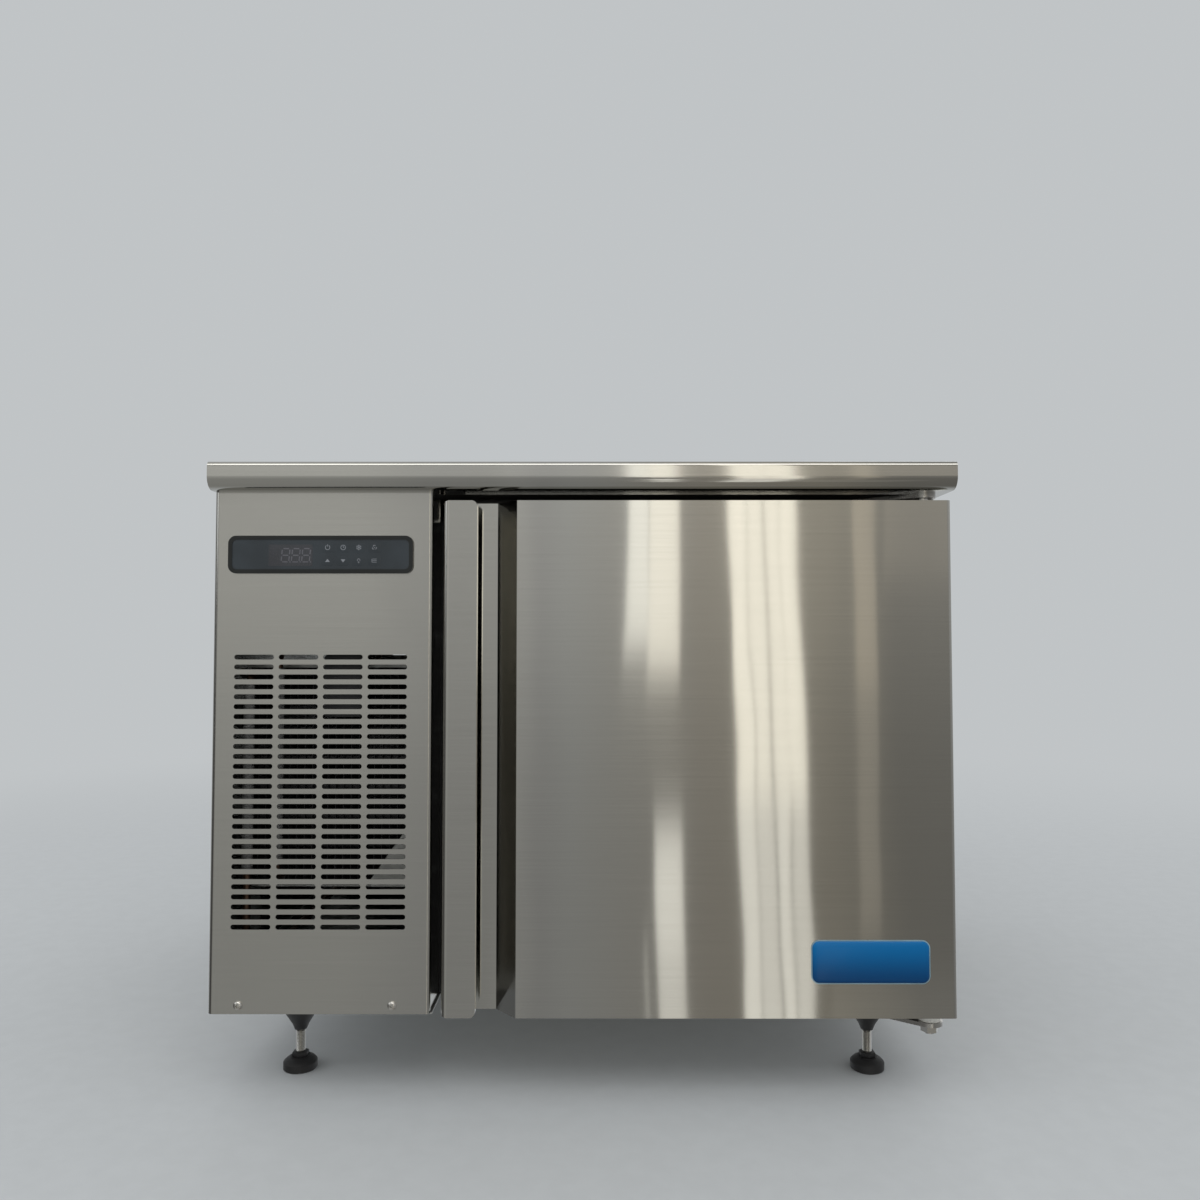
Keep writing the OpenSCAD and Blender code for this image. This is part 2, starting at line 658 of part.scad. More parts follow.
module evaporator_fan_panel() color(bright) difference() {
  union() {
    block([fan_x - sheet, panel_y0, panel_z0], [fan_x, panel_y1, panel_z1]);
    for (y = [panel_y0, panel_y1 - sheet])
      block([in_x0, y, panel_z0], [fan_x - sheet + eps, y + sheet, panel_z1]);
  }
  rod_x(fan_x - cut, fan_x + cut, fan_mid_y, cell_mid_z, fan_hole_r, 64);
  along_x(fan_x - cut, fan_x + cut) for (i = [0:5], j = [0:4])
    translate([ev_y0 + evap_l*(i + 1.3)/7.6, panel_z0 + (panel_z1 - panel_z0)*(j + 0.5)/5])
      rotate(90) slot(56, 10);
}

// ---------------------------------------------------------------- coils
module condenser_coil() color("#4c4e50") union() {
  for (i = [0:cond_fins - 1])
    translate([cond_x0 + tray_t + 1 + (cond_w - 2.6)*i/(cond_fins - 1), cond_y0, cond_z0 + tray_t])
      cube([0.6, cond_d, cond_h - tray_t - 2]);
  for (y = cond_rows, j = [0:cond_tubes - 1])
    rod_x(cond_x0 - 1, cond_x1 + 1, y, cond_tz0 + cond_pitch*j, cond_tube_r, 24);
  // return bends: even gaps on the right, odd gaps on the left
  for (y = cond_rows, j = [0:cond_tubes - 2])
    translate([j % 2 == 0 ? cond_x1 + 1 : cond_x0 - 1, y, cond_tz0 + cond_pitch*(j + 0.5)])
      rotate([90, j % 2 == 0 ? 90 : -90, 0]) rotate_extrude(angle = 180, $fn = 48)
        translate([cond_pitch/2, 0]) circle(r = cond_tube_r, $fn = 24);
  // headers that join the two rows, and the two connections at the front
  for (z = [cond_tz0, cond_tz1]) {
    rod_y(cond_x0 - 7, cond_rows[0] - 6, cond_rows[1] + 6, z, cond_tube_r + 1, 24);
    for (y = cond_rows) rod_x(cond_x0 - 7, cond_x0 - 1 + eps, y, z, cond_tube_r, 24);
  }
  rod_y(disch_x, stub_y, cond_rows[0], cond_tz0, pipe_r + 1, 24);
  rod_y(liquid_x, stub_y, cond_rows[0], cond_tz1, pipe_r + 1, 24);
}
module condenser_frame() color(steel) difference() {
  union() {
    for (x = [cond_x0, cond_x1 - tray_t])
      block([x, cond_y0, floor_z], [x + tray_t, cond_y1, cond_z1]);
    block([cond_x0 + tray_t - eps, cond_y0, floor_z], [cond_x0 + 16, cond_y1, floor_z + tray_t]);
    block([cond_x1 - 16, cond_y0, floor_z], [cond_x1 - tray_t + eps, cond_y1, floor_z + tray_t]);
    block([cond_x0, cond_y0, cond_z0], [cond_x1, cond_y1, cond_z0 + tray_t]);
    block([cond_x0, cond_y0 - tray_t, cond_z1 - 6], [cond_x1, cond_y0, cond_z1]);
    // gusset across the lower right-hand corner
    along_y(cond_y0 - tray_t, cond_y0) polygon([[cond_x1, cond_z0], [cond_x1, cond_z0 + 62],
      [cond_x1 - 8, cond_z0 + 62], [cond_x1 - 46, cond_z0 + 8], [cond_x1 - 46, cond_z0]]);
  }
  for (y = cond_rows, j = [0:cond_tubes - 1])
    rod_x(cond_x0 - cut, cond_x1 + cut, y, cond_tz0 + cond_pitch*j, cond_tube_r + 0.2, 24);
}
module evaporator_coil() color("#a9adb0") union() {
  for (i = [0:evap_fins - 1])
    translate([ev_x0, ev_y0, ev_z0 + (ev_z1 - ev_z0 - 0.8)*i/(evap_fins - 1)])
      cube([ev_x1 - ev_x0, evap_l, 0.8]);
  for (z = [ev_z0 - tray_t, ev_z1]) block([in_x0, ev_y0, z], [ev_x1, ev_y1, z + tray_t]);
  for (x = [ev_x0 + 13, ev_x1 - 13], j = [0:5])
    rod_z(x, ev_y1 - 10 - 42*j, ev_z0 - tray_t - 1, ev_z1 + tray_t + 1, evap_tube_r, 24);
  for (x = [ev_x0 + 13, ev_x1 - 13], j = [0:4])
    translate([x, ev_y1 - 31 - 42*j, j % 2 == 0 ? ev_z0 - tray_t - 1 : ev_z1 + tray_t + 1])
      rotate([90, 0, 90]) rotate([0, 0, j % 2 == 0 ? 180 : 0]) rotate_extrude(angle = 180, $fn = 48)
        translate([21, 0]) circle(r = evap_tube_r, $fn = 24);
  // connections towards the wall
  rod_x(ev_x0 - 1, ev_x0 + 14, pass_y[0], pass_z, pipe_r + 1.5, 24);
  rod_x(ev_x0 - 1, ev_x0 + 21, pass_y[1], pass_z, suction_r + 1, 24);
  rod_y(ev_x0 + 13, ev_y1 - 53, pass_y[1] + 1, pass_z, suction_r, 24);
}

// ---------------------------------------------------------------- refrigeration
module compressor() color(dark) translate([comp[0], comp[1], 0]) union() {
  translate([0, 0, comp_body - 1]) rotate_extrude($fn = 64) {
    h = comp_h;
    r = comp_r;
    polygon([[0, 0], [r*0.55, 0], [r*0.85, 6], [r*0.96, 16], [r, 30], [r, h*0.52 - 5],
      [r + 4, h*0.52 - 5], [r + 4, h*0.52 - 1], [r - 2, h*0.52 - 1], [r - 2, h - 38],
      for (q = [10:10:80]) [(r - 2)*cos(q), h - 38 + 38*sin(q)], [0, h]]);
  }
  difference() {
    block([-84, -62, comp_z0], [84, 62, comp_body]);
    for (x = [-72, 72], y = [-50, 50]) rod_z(x, y, comp_z0 - cut, comp_body + cut, 5);
  }
  for (s = [-1, 1]) rod_z(s*(comp_r - 18), 0, comp_body + comp_h*0.6, comp_stub, (s < 0 ? pipe_r : suction_r) + 1.5);
}
module compressor_mounts() color("#1c1c1c") for (x = [-72, 72], y = [-50, 50])
  translate([comp[0] + x, comp[1] + y, 0]) union() {
    rod_z(0, 0, floor_z, comp_z0, 11);
    rod_z(0, 0, floor_z + 4, floor_z + 8, 12.5);
    rod_z(0, 0, comp_z0, comp_body + 5, 4.9);
    rod_z(0, 0, comp_body, comp_body + 5, 9);
  }
module compressor_terminal_cover() color("#1c1c1c") difference() {
  translate([comp[0], comp[1] + comp_r + 2, comp_body + 56]) rotate([90, 0, 0]) translate([0, 0, -14])
    linear_extrude(height = 40) rrect([-28, -26], [28, 26], 6, 24);
  rod_z(comp[0], comp[1], comp_body - cut, comp_body + comp_h, comp_r + hole_fit, 64);
}
module liquid_receiver() color(dark) union() {
  translate([recv[0], recv[1], floor_z]) rotate_extrude($fn = 48)
    polygon([[0, 0], [recv_r - 12, 0], [recv_r - 12, 3], [recv_r - 16, 3], [recv_r - 16, 8],
      [recv_r*0.8, 10], [recv_r, 22], [recv_r, 130], for (q = [20:20:80]) [recv_r*cos(q), 130 + 16*sin(q)],
      [0, 146]]);
  rod_z(recv[0], recv[1], floor_z + 140, recv_z1, pipe_r + 2);
  rod_y(liquid_x, recv_in, recv[1] - 10, low_z, pipe_r + 2);
}
module filter_drier() color("#3f6b4f") translate([drier_x[0], recv[1], drier_z]) rotate([0, 90, 0])
  rotate_extrude($fn = 32) polygon([[0, 0], [pipe_r + 1.5, 0], [pipe_r + 1.5, 8], [17, 18], [17, 72],
    [pipe_r + 1.5, 82], [pipe_r + 1.5, drier_x[1] - drier_x[0]], [0, drier_x[1] - drier_x[0]]]);
module expansion_valve() color("#b58a3a") union() {
  rod_z(valve_x, recv[1], valve_z[0], valve_z[1], 9);
  translate([valve_x, recv[1] - 22, (valve_z[0] + valve_z[1])/2]) rotate([-90, 0, 0])
    rotate_extrude($fn = 32) polygon([[0, -8], [14, -6], [18, -2], [18, 2], [8, 6], [8, 22], [0, 22]]);
}
module discharge_pipe() color("#b87a4b") pipe([[disch_x, comp[1], comp_stub], [disch_x, comp[1], over_z],
  [disch_x, run_y, over_z], [disch_x, run_y, cond_tz0], [disch_x, stub_y, cond_tz0]], pipe_r, pipe_bend);
module liquid_pipes() color("#b87a4b") union() {
  pipe([[liquid_x, stub_y, cond_tz1], [liquid_x, run_y, cond_tz1], [liquid_x, run_y, low_z],
    [liquid_x, recv_in, low_z]], pipe_r, pipe_bend);
  pipe([[recv[0], recv[1], recv_z1], [recv[0], recv[1], drier_z], [drier_x[0], recv[1], drier_z]],
    pipe_r, pipe_bend);
  pipe([[drier_x[1], recv[1], drier_z], [valve_x, recv[1], drier_z], [valve_x, recv[1], valve_z[0]]],
    pipe_r, pipe_bend);
  pipe([[valve_x, recv[1], valve_z[1]], [valve_x, recv[1], pass_z], [ev_x0 - 1, recv[1], pass_z]],
    pipe_r, pipe_bend);
}
module suction_pipe() color("#1e1f20") pipe([[ev_x0 - 1, pass_y[1], pass_z],
  [suct_x, pass_y[1], pass_z], [suct_x, comp[1], pass_z], [suct_x, comp[1], comp_stub]], suction_r, 20);

// ---------------------------------------------------------------- electrics
module controller_bezel() color("#20242a") along_y(yf - ctl_out, yf) difference() {
  rrect([ctl_mid - ctl_w/2, ctl_mid_z - ctl_h/2], [ctl_mid + ctl_w/2, ctl_mid_z + ctl_h/2], 8, 32);
  rrect([ctl_mid - ctl_w/2 + ctl_rim, ctl_mid_z - ctl_h/2 + ctl_rim],
        [ctl_mid + ctl_w/2 - ctl_rim, ctl_mid_z + ctl_h/2 - ctl_rim], 5, 32);
}
module controller_face() color("#39424c") along_y(yf - ctl_out + 0.6, yf)
  rrect([ctl_mid - ctl_w/2 + ctl_rim, ctl_mid_z - ctl_h/2 + ctl_rim],
        [ctl_mid + ctl_w/2 - ctl_rim, ctl_mid_z + ctl_h/2 - ctl_rim], 5, 32);
module controller_body() color("#202224") union() {
  block([ctl_mid - ctl_w/2 + 18.5, yf, ctl_mid_z - ctl_h/2 + 5],
        [ctl_mid + ctl_w/2 - 18.5, yf + ctl_depth, ctl_mid_z + ctl_h/2 - 5]);
  for (k = [0:2]) block([ctl_mid - 60 + 42*k, yf + ctl_depth - eps, ctl_mid_z - 7],
                        [ctl_mid - 30 + 42*k, yf + ctl_depth + 6, ctl_mid_z + 5]);
}
module electrics_box() color(steel) difference() {
  block([box_x0 + sheet, box_y[0], box_z0], [cell_x, box_y[1], box_z1]);
  block([box_x0 - cut, box_y[0] + sheet, box_z0 + sheet], [cell_x - sheet, box_y[1] - sheet, box_z1 - sheet]);
  rod_z(cell_x - 40, box_y[1] - 30, box_z0 - cut, box_z0 + cut, 8);
}
module electrics_cover() color(steel) difference() {
  block([box_x0, box_y[0] - sheet, box_z0 - sheet], [box_x0 + 12, box_y[1] + sheet, box_z1 + sheet]);
  block([box_x0 + sheet, box_y[0], box_z0], [box_x0 + 12 + cut, box_y[1], box_z1]);
}
module supply_terminal_box() color("#8e9194") along_y(cond_y0 - tray_t - 24, cond_y0 - tray_t)
  rrect([cfan[0] - 2, cond_z1 - 56], [cfan[0] + 38, cond_z1 + 8], 4, 24);
module cable_gland() color(dark) difference() {
  translate([xl + 45, yr, zb + 38]) rotate([-90, 0, 0]) rotate_extrude($fn = 32)
    polygon([[0, -10], [14, -10], [14, -sheet], [10, -sheet], [10, 0], [14, 0], [14, 6], [12.5, 7.5],
      [12.5, 13], [9, 17], [0, 17]]);
  rod_y(xl + 45, yr - 30, yr + 30, zb + 38, 5);
}
module air_probe() color(bright) union() {
  block([fan_x - sheet - 10, ev_y0 - 24, cell_mid_z + 92], [fan_x - sheet, ev_y0 - 12, cell_mid_z + 104]);
  rod_z(fan_x - sheet - 5, ev_y0 - 18, cell_mid_z + 58, cell_mid_z + 118, 3);
}

// ---------------------------------------------------------------- hinges
module hinge_plan(y1) {
  a = [brk_x0, face_y];
  b = [xr - 5, face_y];
  union() {
    polygon([[brk_x0, y1], a, tangent(a, pivot, hinge_nose_r, 1), pivot,
      [pivot[0] + hinge_nose_r, pivot[1]], b, [xr - 5, y1]]);
    translate(pivot) circle(r = hinge_nose_r, $fn = 48);
  }
}
module hinge_plate_top() color(bright) difference() {
  along_z(cell_z, zt) hinge_plan(face_y + 55);
  rod_z(pivot[0], pivot[1], cell_z - cut, zt + cut, pin_r + hole_fit);
  for (x = [brk_x0 + 15, xr - 20]) rod_z(x, face_y + 38, cell_z - cut, zt + cut, 3.3);
}
module hinge_plate_bottom() color(bright) difference() {
  union() {
    along_z(brk_z0, brk_z1) hinge_plan(face_y + eps);
    block([brk_x0, face_y - 2.5, brk_z0], [xr - 5, face_y, zb + 24]);
  }
  rod_z(pivot[0], pivot[1], brk_z0 - cut, brk_z1 + cut, pin_r + hole_fit);
  for (x = [brk_x0 + 15, xr - 20]) rod_y(x, face_y - cut, face_y + cut, zb + 13, 3.3);
}
module hinge_pins() color(bright) {
  rod_z(pivot[0], pivot[1], door_z1 - 20, zt, pin_r);
  union() {
    rod_z(pivot[0], pivot[1], brk_z0 - 9, door_z0 + 22, pin_r);
    rod_z(pivot[0], pivot[1], brk_z0 - 7, brk_z0, 9, 6);
  }
}
module door_bushes() color("#d8d6cc") {
  difference() {
    union() {
      rod_z(pivot[0], pivot[1], door_z1 - 24, door_z1, bush_r);
      rod_z(pivot[0], pivot[1], door_z1, cell_z - 2.5, bush_r + 3);
    }
    rod_z(pivot[0], pivot[1], door_z1 - 30, zt, pin_r + run_fit);
  }
  difference() {
    union() {
      rod_z(pivot[0], pivot[1], door_z0, door_z0 + 26, bush_r);
      rod_z(pivot[0], pivot[1], brk_z1 + 0.2, door_z0, bush_r + 3);
    }
    rod_z(pivot[0], pivot[1], brk_z0, door_z0 + 30, pin_r + run_fit);
  }
}

// ---------------------------------------------------------------- legs
module leg_sockets() color(dark) for (p = leg_xy) translate([p[0], p[1], 0]) difference() {
  rotate_extrude($fn = 48) polygon([[0, socket_z], [stem_r + 1.5, socket_z], [stem_r + 4, socket_z + 6],
    [18.5, leg_h - 27], [socket_r - 3, leg_h - 6], [socket_r, leg_h - 4], [socket_r, leg_h], [0, leg_h]]);
  rod_z(0, 0, socket_z - cut, leg_h - 5, stem_r + run_fit);
}
module foot(k) color(dark) translate([leg_xy[k][0], leg_xy[k][1], 0]) rotate_extrude($fn = 48)
  polygon([[0, 0], [pad_r - 1, 0], [pad_r, 1], [pad_r, 8], [pad_r - 3, 11], [stem_r + 4, 14],
    [stem_r + 4, 18], [stem_r, 18], [stem_r, leg_h - 8], [stem_r - 1, leg_h - 7], [0, leg_h - 7]]);
module foot_front_left() foot(0);
module foot_front_right() foot(1);
module foot_rear_left() foot(2);
module foot_rear_right() foot(3);

// ---------------------------------------------------------------- door
// outline of the door in plan, shrunk by g: recess floor, slope, face and outer edge
rise = unit([grip_slope_w, -grip_depth]);           // along the slope, towards the face
inward = [-rise[1], rise[0]];                       // from the slope into the door
floor_y = door_y0 + grip_depth;
function on_slope(y, g) = let (q = [door_x0 + grip_floor_w, floor_y] + g*inward)
  q[0] + rise[0]*(y - q[1])/rise[1];
module door_plan(g, y1) {
  x0 = door_x0 + grip_t + g;
  x1 = door_x1 - g;
  y0 = door_y0 + g;
  r = door_edge_r - g;
  union() {
    polygon([[x0, y1], [x0, floor_y + g], [on_slope(floor_y + g, g), floor_y + g],
      [on_slope(y0, g), y0], [x1 - r, y0], [x1, y0 + r], [x1, y1]]);
    translate([x1 - r, y0 + r]) circle(r = r, $fn = 48);
  }
}
field_in = gasket_w + 13;
gx0 = in_x0 - 23;
gx1 = in_x1 + 23;
gz0 = in_z0 - 23;
gz1 = in_z1 + 23;
module field(g) rrect([gx0 + field_in + g, gz0 + field_in + g], [gx1 - field_in - g, gz1 - field_in - g], 12 - g, 48);
module door_skin() color(steel) difference() {
  along_z(door_z0, door_z1) door_plan(0, door_y1);
  along_z(door_z0 + sheet, door_z1 - sheet) door_plan(sheet, door_y1 + cut);
  rod_z(pivot[0], pivot[1], door_z0 - cut, door_z1 + cut, bush_r + hole_fit);
}
module door_insulation() color("#d9c88a") difference() {
  union() {
    along_z(door_z0 + sheet, door_z1 - sheet) door_plan(sheet, door_y1 - sheet);
    along_y(door_y1 - sheet - eps, door_y1 + field_t - sheet) field(sheet);
  }
  rod_z(pivot[0], pivot[1], door_z0 - cut, door_z0 + 28, bush_r + hole_fit);
  rod_z(pivot[0], pivot[1], door_z1 - 26, door_z1 + cut, bush_r + hole_fit);
}
module door_liner() color(bright) difference() {
  union() {
    block([door_x0 + grip_t + sheet, door_y1 - sheet, door_z0 + sheet],
          [door_x1 - sheet, door_y1, door_z1 - sheet]);
    along_y(door_y1 - sheet, door_y1 + field_t) field(0);
  }
  along_y(door_y1 - sheet - cut, door_y1 + field_t - sheet) field(sheet);
}
module ring(g) difference() {
  rrect([gx0 + g, gz0 + g], [gx1 - g, gz1 - g], 4, 24);
  rrect([gx0 + gasket_w - g, gz0 + gasket_w - g], [gx1 - gasket_w + g, gz1 - gasket_w + g], 2, 24);
}
module door_gasket() color("#3a3b3c") union() {
  along_y(door_y1, door_y1 + 3) ring(0);
  along_y(door_y1 + 3 - eps, door_y1 + 6 + eps) ring(3);
  along_y(door_y1 + 6, door_y1 + gasket_t) ring(1);
}
module door_handle() color(bright) intersection() {
  along_z(door_z0, door_z1) union() {
    translate([door_x0, door_y0 + grip_r]) square([grip_t, door_t - grip_r]);
    translate([door_x0 + grip_r, door_y0]) square([grip_w - grip_r, grip_t]);
    translate([door_x0 + grip_w - grip_t, door_y0]) square([grip_t, grip_hem]);
    intersection() {
      translate([door_x0, door_y0]) square(grip_r);
      translate([door_x0 + grip_r, door_y0 + grip_r]) difference() {
        circle(r = grip_r, $fn = 48);
        circle(r = grip_r - grip_t, $fn = 48);
      }
    }
  }
  along_y(door_y0 - cut, door_y1 + cut) rrect([door_x0, door_z0], [door_x0 + grip_w, door_z1], 6, 32);
}

worktop();
worktop_core();
front_panel();
panel_screws();
left_side_panel();
rear_grille();
base_tray();
cell_outer_casing();
cell_insulation();
cell_liner();
cell_front_frame();
breaker_strip();
door_switch();
controller_bezel();
controller_face();
controller_body();
electrics_box();
electrics_cover();
supply_terminal_box();
cable_gland();
compressor();
compressor_mounts();
compressor_terminal_cover();
condenser_coil();
condenser_frame();
condenser_shroud();
condenser_fan_motor();
condenser_fan_blades();
liquid_receiver();
filter_drier();
expansion_valve();
discharge_pipe();
liquid_pipes();
suction_pipe();
evaporator_coil();
evaporator_fan_panel();
evaporator_fan_motor();
evaporator_fan_blades();
evaporator_fan_guard();
rack_posts_left();
rack_posts_right();
tray_runners_left();
tray_runners_right();
drain_fitting();
air_probe();
hinge_plate_top();
hinge_plate_bottom();
hinge_pins();
leg_sockets();
foot_front_left();
foot_front_right();
foot_rear_left();
foot_rear_right();
door_skin();
door_handle();
door_insulation();
door_liner();
door_gasket();
door_bushes();
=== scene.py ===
"""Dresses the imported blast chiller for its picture: finishes, small fittings, light and camera.

Metres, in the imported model's frame: +Z is up, the front faces -Y, and the origin is on the
floor under the middle of the worktop.
"""

import json
import logging
import math
from dataclasses import dataclass
from enum import Enum
from typing import Any, Iterable, Sequence

import bmesh
import bpy
from mathutils import Matrix, Vector

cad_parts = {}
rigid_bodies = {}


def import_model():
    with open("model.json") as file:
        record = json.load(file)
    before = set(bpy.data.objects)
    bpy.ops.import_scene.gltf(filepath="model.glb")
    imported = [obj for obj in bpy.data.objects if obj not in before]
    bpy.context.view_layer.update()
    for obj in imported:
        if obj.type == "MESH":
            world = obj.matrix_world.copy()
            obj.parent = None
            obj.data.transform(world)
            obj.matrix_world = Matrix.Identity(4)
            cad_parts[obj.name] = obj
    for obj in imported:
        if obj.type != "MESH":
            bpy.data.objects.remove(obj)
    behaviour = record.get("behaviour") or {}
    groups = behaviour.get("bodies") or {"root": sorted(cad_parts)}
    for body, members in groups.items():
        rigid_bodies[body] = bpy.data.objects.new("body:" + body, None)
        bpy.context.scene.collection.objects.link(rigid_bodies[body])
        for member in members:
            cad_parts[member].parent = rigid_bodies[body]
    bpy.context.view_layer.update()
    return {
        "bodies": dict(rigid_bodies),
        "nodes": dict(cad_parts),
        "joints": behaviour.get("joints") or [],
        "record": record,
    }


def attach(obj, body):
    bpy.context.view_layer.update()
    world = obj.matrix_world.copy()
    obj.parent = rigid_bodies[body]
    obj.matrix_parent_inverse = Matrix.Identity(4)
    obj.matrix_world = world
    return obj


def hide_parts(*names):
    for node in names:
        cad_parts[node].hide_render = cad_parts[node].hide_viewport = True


LOG = logging.getLogger("blast_chiller")
RGB = tuple[float, float, float]
Point = tuple[float, float, float]

FORWARD = (0.0, -1.0, 0.0)
DOOR_FACE = -0.355
FOOT_X, FOOT_Y = 0.307, 0.262


class Grain(Enum):
    """Which way the polishing lines run on a sheet: the coordinates they cross are fine."""

    ALONG_X = (5.0, 1500.0, 1500.0)
    LEVEL = (6.0, 6.0, 1500.0)
    ALONG_Y = (1500.0, 6.0, 1500.0)


class Spread(Enum):
    """The direction across which a sheet's highlights are drawn out."""

    UPRIGHT = (0.02, 0.013, 1.0)
    ACROSS_X = (0.012, 1.0, 0.9)
    ACROSS_Y = (1.0, 0.012, 0.9)


class Course(Enum):
    """How a mapped value runs from one end of its range to the other."""

    SMOOTH = "SMOOTHSTEP"
    STRAIGHT = "LINEAR"


# ---------------------------------------------------------------- node trees
class NodeSheet:
    """A material's node tree, with short calls for the nodes that the finishes share."""

    def __init__(self, name: str) -> None:
        """Starts an empty tree.

        Args:
            name: The material's name.
        """
        self.material = bpy.data.materials.new(name)
        self.material.use_nodes = True
        self.tree = self.material.node_tree
        self.tree.nodes.clear()
        self.coord = self.add("ShaderNodeTexCoord").outputs["Object"]

    def add(self, kind: str, **settings: Any) -> bpy.types.Node:
        """Adds a node.

        Args:
            kind: The node's type name.
            settings: Properties to set on it.

        Returns:
            The new node.
        """
        node = self.tree.nodes.new(kind)
        for name, value in settings.items():
            setattr(node, name, value)
        return node

    def link(self, source: Any, target: bpy.types.NodeSocket) -> None:
        """Joins an output to an input, or writes a plain value into it.

        Args:
            source: An output socket or a value.
            target: The input socket.
        """
        if isinstance(source, bpy.types.NodeSocket):
            self.tree.links.new(source, target)
        else:
            target.default_value = source

    def mapped(self, scale: float | Sequence[float], shift: Sequence[float] = (0, 0, 0)) -> Any:
        """Object coordinates, stretched and shifted.

        Args:
            scale: Scale along each axis, or one for all three.
            shift: Location along each axis.

        Returns:
            The vector socket.
        """
        node = self.add("ShaderNodeMapping")
        self.link(self.coord, node.inputs["Vector"])
        node.inputs["Scale"].default_value = (scale,) * 3 if isinstance(scale, float) else tuple(scale)
        node.inputs["Location"].default_value = tuple(shift)
        return node.outputs["Vector"]

    def noise(
        self,
        scale: float | Sequence[float],
        detail: float = 2.0,
        rough: float = 0.5,
        shift: Sequence[float] = (0, 0, 0),
    ) -> Any:
        """A noise pattern in object space.

        Args:
            scale: Cells per metre along each axis, or one number for all three.
            detail: Octaves.
            rough: Strength of the finer octaves.
            shift: Offset that tells one pattern from another.

        Returns:
            The value socket, about 0.2 to 0.8.
        """
        node = self.add("ShaderNodeTexNoise")
        node.inputs["Scale"].default_value = 1.0
        node.inputs["Detail"].default_value = detail
        node.inputs["Roughness"].default_value = rough
        self.link(self.mapped(scale, shift), node.inputs["Vector"])
        return node.outputs["Fac"]

    def cells(self, scale: float | Sequence[float]) -> bpy.types.Node:
        """A Voronoi pattern in object space.

        Args:
            scale: Cells per metre along each axis, or one number for all three.

        Returns:
            The Voronoi node.
        """
        node = self.add("ShaderNodeTexVoronoi")
        node.inputs["Scale"].default_value = 1.0
        self.link(self.mapped(scale), node.inputs["Vector"])
        return node

    def span(
        self,
        value: Any,
        low: float,
        high: float,
        to_low: float = 0.0,
        to_high: float = 1.0,
        course: Course = Course.SMOOTH,
    ) -> Any:
        """Maps a range of a value onto another, clamped at both ends.

        Args:
            value: The input socket.
            low: Start of the range read.
            high: End of the range read.
            to_low: Result at the start.
            to_high: Result at the end.
            course: How the result runs from one to the other.

        Returns:
            The value socket.
        """
        node = self.add("ShaderNodeMapRange", interpolation_type=course.value)
        for key, number in (
            ("From Min", low),
            ("From Max", high),
            ("To Min", to_low),
            ("To Max", to_high),
        ):
            node.inputs[key].default_value = number
        self.link(value, node.inputs["Value"])
        return node.outputs["Result"]

    def math(self, operation: str, first: Any, second: Any = 0.0) -> Any:
        """A Math node.

        Args:
            operation: The node's operation name.
            first: Socket or number.
            second: Socket or number.

        Returns:
            The value socket.
        """
        node = self.add("ShaderNodeMath", operation=operation)
        self.link(first, node.inputs[0])
        self.link(second, node.inputs[1])
        return node.outputs[0]

    def blend(self, factor: Any, first: Any, second: Any, mode: str = "MIX") -> Any:
        """Mixes two colours.

        Args:
            factor: Socket or number.
            first: Colour or socket at factor 0.
            second: Colour or socket at factor 1.
            mode: The node's blend type.

        Returns:
            The colour socket.
        """
        node = self.add("ShaderNodeMix", data_type="RGBA", blend_type=mode)
        self.link(factor, node.inputs["Factor"])
        for value, key in ((first, 6), (second, 7)):
            self.link((*value, 1.0) if isinstance(value, tuple) else value, node.inputs[key])
        return node.outputs[2]

    def bump(self, height: Any, depth: float, under: Any = None) -> Any:
        """A bump of a real depth.

        Args:
            height: The height socket, 0 to 1.
            depth: Metres that a height of 1 stands for.
            under: Normal socket of a coarser bump beneath.

        Returns:
            The normal socket.
        """
        node = self.add("ShaderNodeBump")
        node.inputs["Distance"].default_value = depth
        self.link(height, node.inputs["Height"])
        if under is not None:
            self.link(under, node.inputs["Normal"])
        return node.outputs["Normal"]

    def axes(self) -> Any:
        """Splits the coordinates.

        Returns:
            Their sockets, named X, Y and Z.
        """
        node = self.add("ShaderNodeSeparateXYZ")
        self.link(self.coord, node.inputs[0])
        return node.outputs

    def either(self, factor: Any, first: Any, second: Any) -> Any:
        """Mixes two shaders.

        Args:
            factor: Socket or number.
            first: Shader socket at factor 0.
            second: Shader socket at factor 1.

        Returns:
            The shader socket.
        """
        node = self.add("ShaderNodeMixShader")
        for value, socket in zip((factor, first, second), node.inputs):
            self.link(value, socket)
        return node.outputs[0]

    def ray(self, kind: str) -> Any:
        """The socket that tells whether a ray is of a kind, such as Camera."""
        return self.add("ShaderNodeLightPath").outputs[f"Is {kind} Ray"]

    def surface(self, **values: Any) -> bpy.types.Material:
        """Ends the tree in one Principled shader.

        Args:
            values: Its inputs by name, with _ for a space: sockets, colours or numbers.

        Returns:
            The finished material.
        """
        shader = self.add("ShaderNodeBsdfPrincipled")
        for key, value in values.items():
            if isinstance(value, tuple) and len(value) == 3 and "Color" in key:
                value = (*value, 1.0)
            self.link(value, shader.inputs[key.replace("_", " ")])
        out = self.add("ShaderNodeOutputMaterial")
        self.link(shader.outputs[0], out.inputs["Surface"])
        return self.material


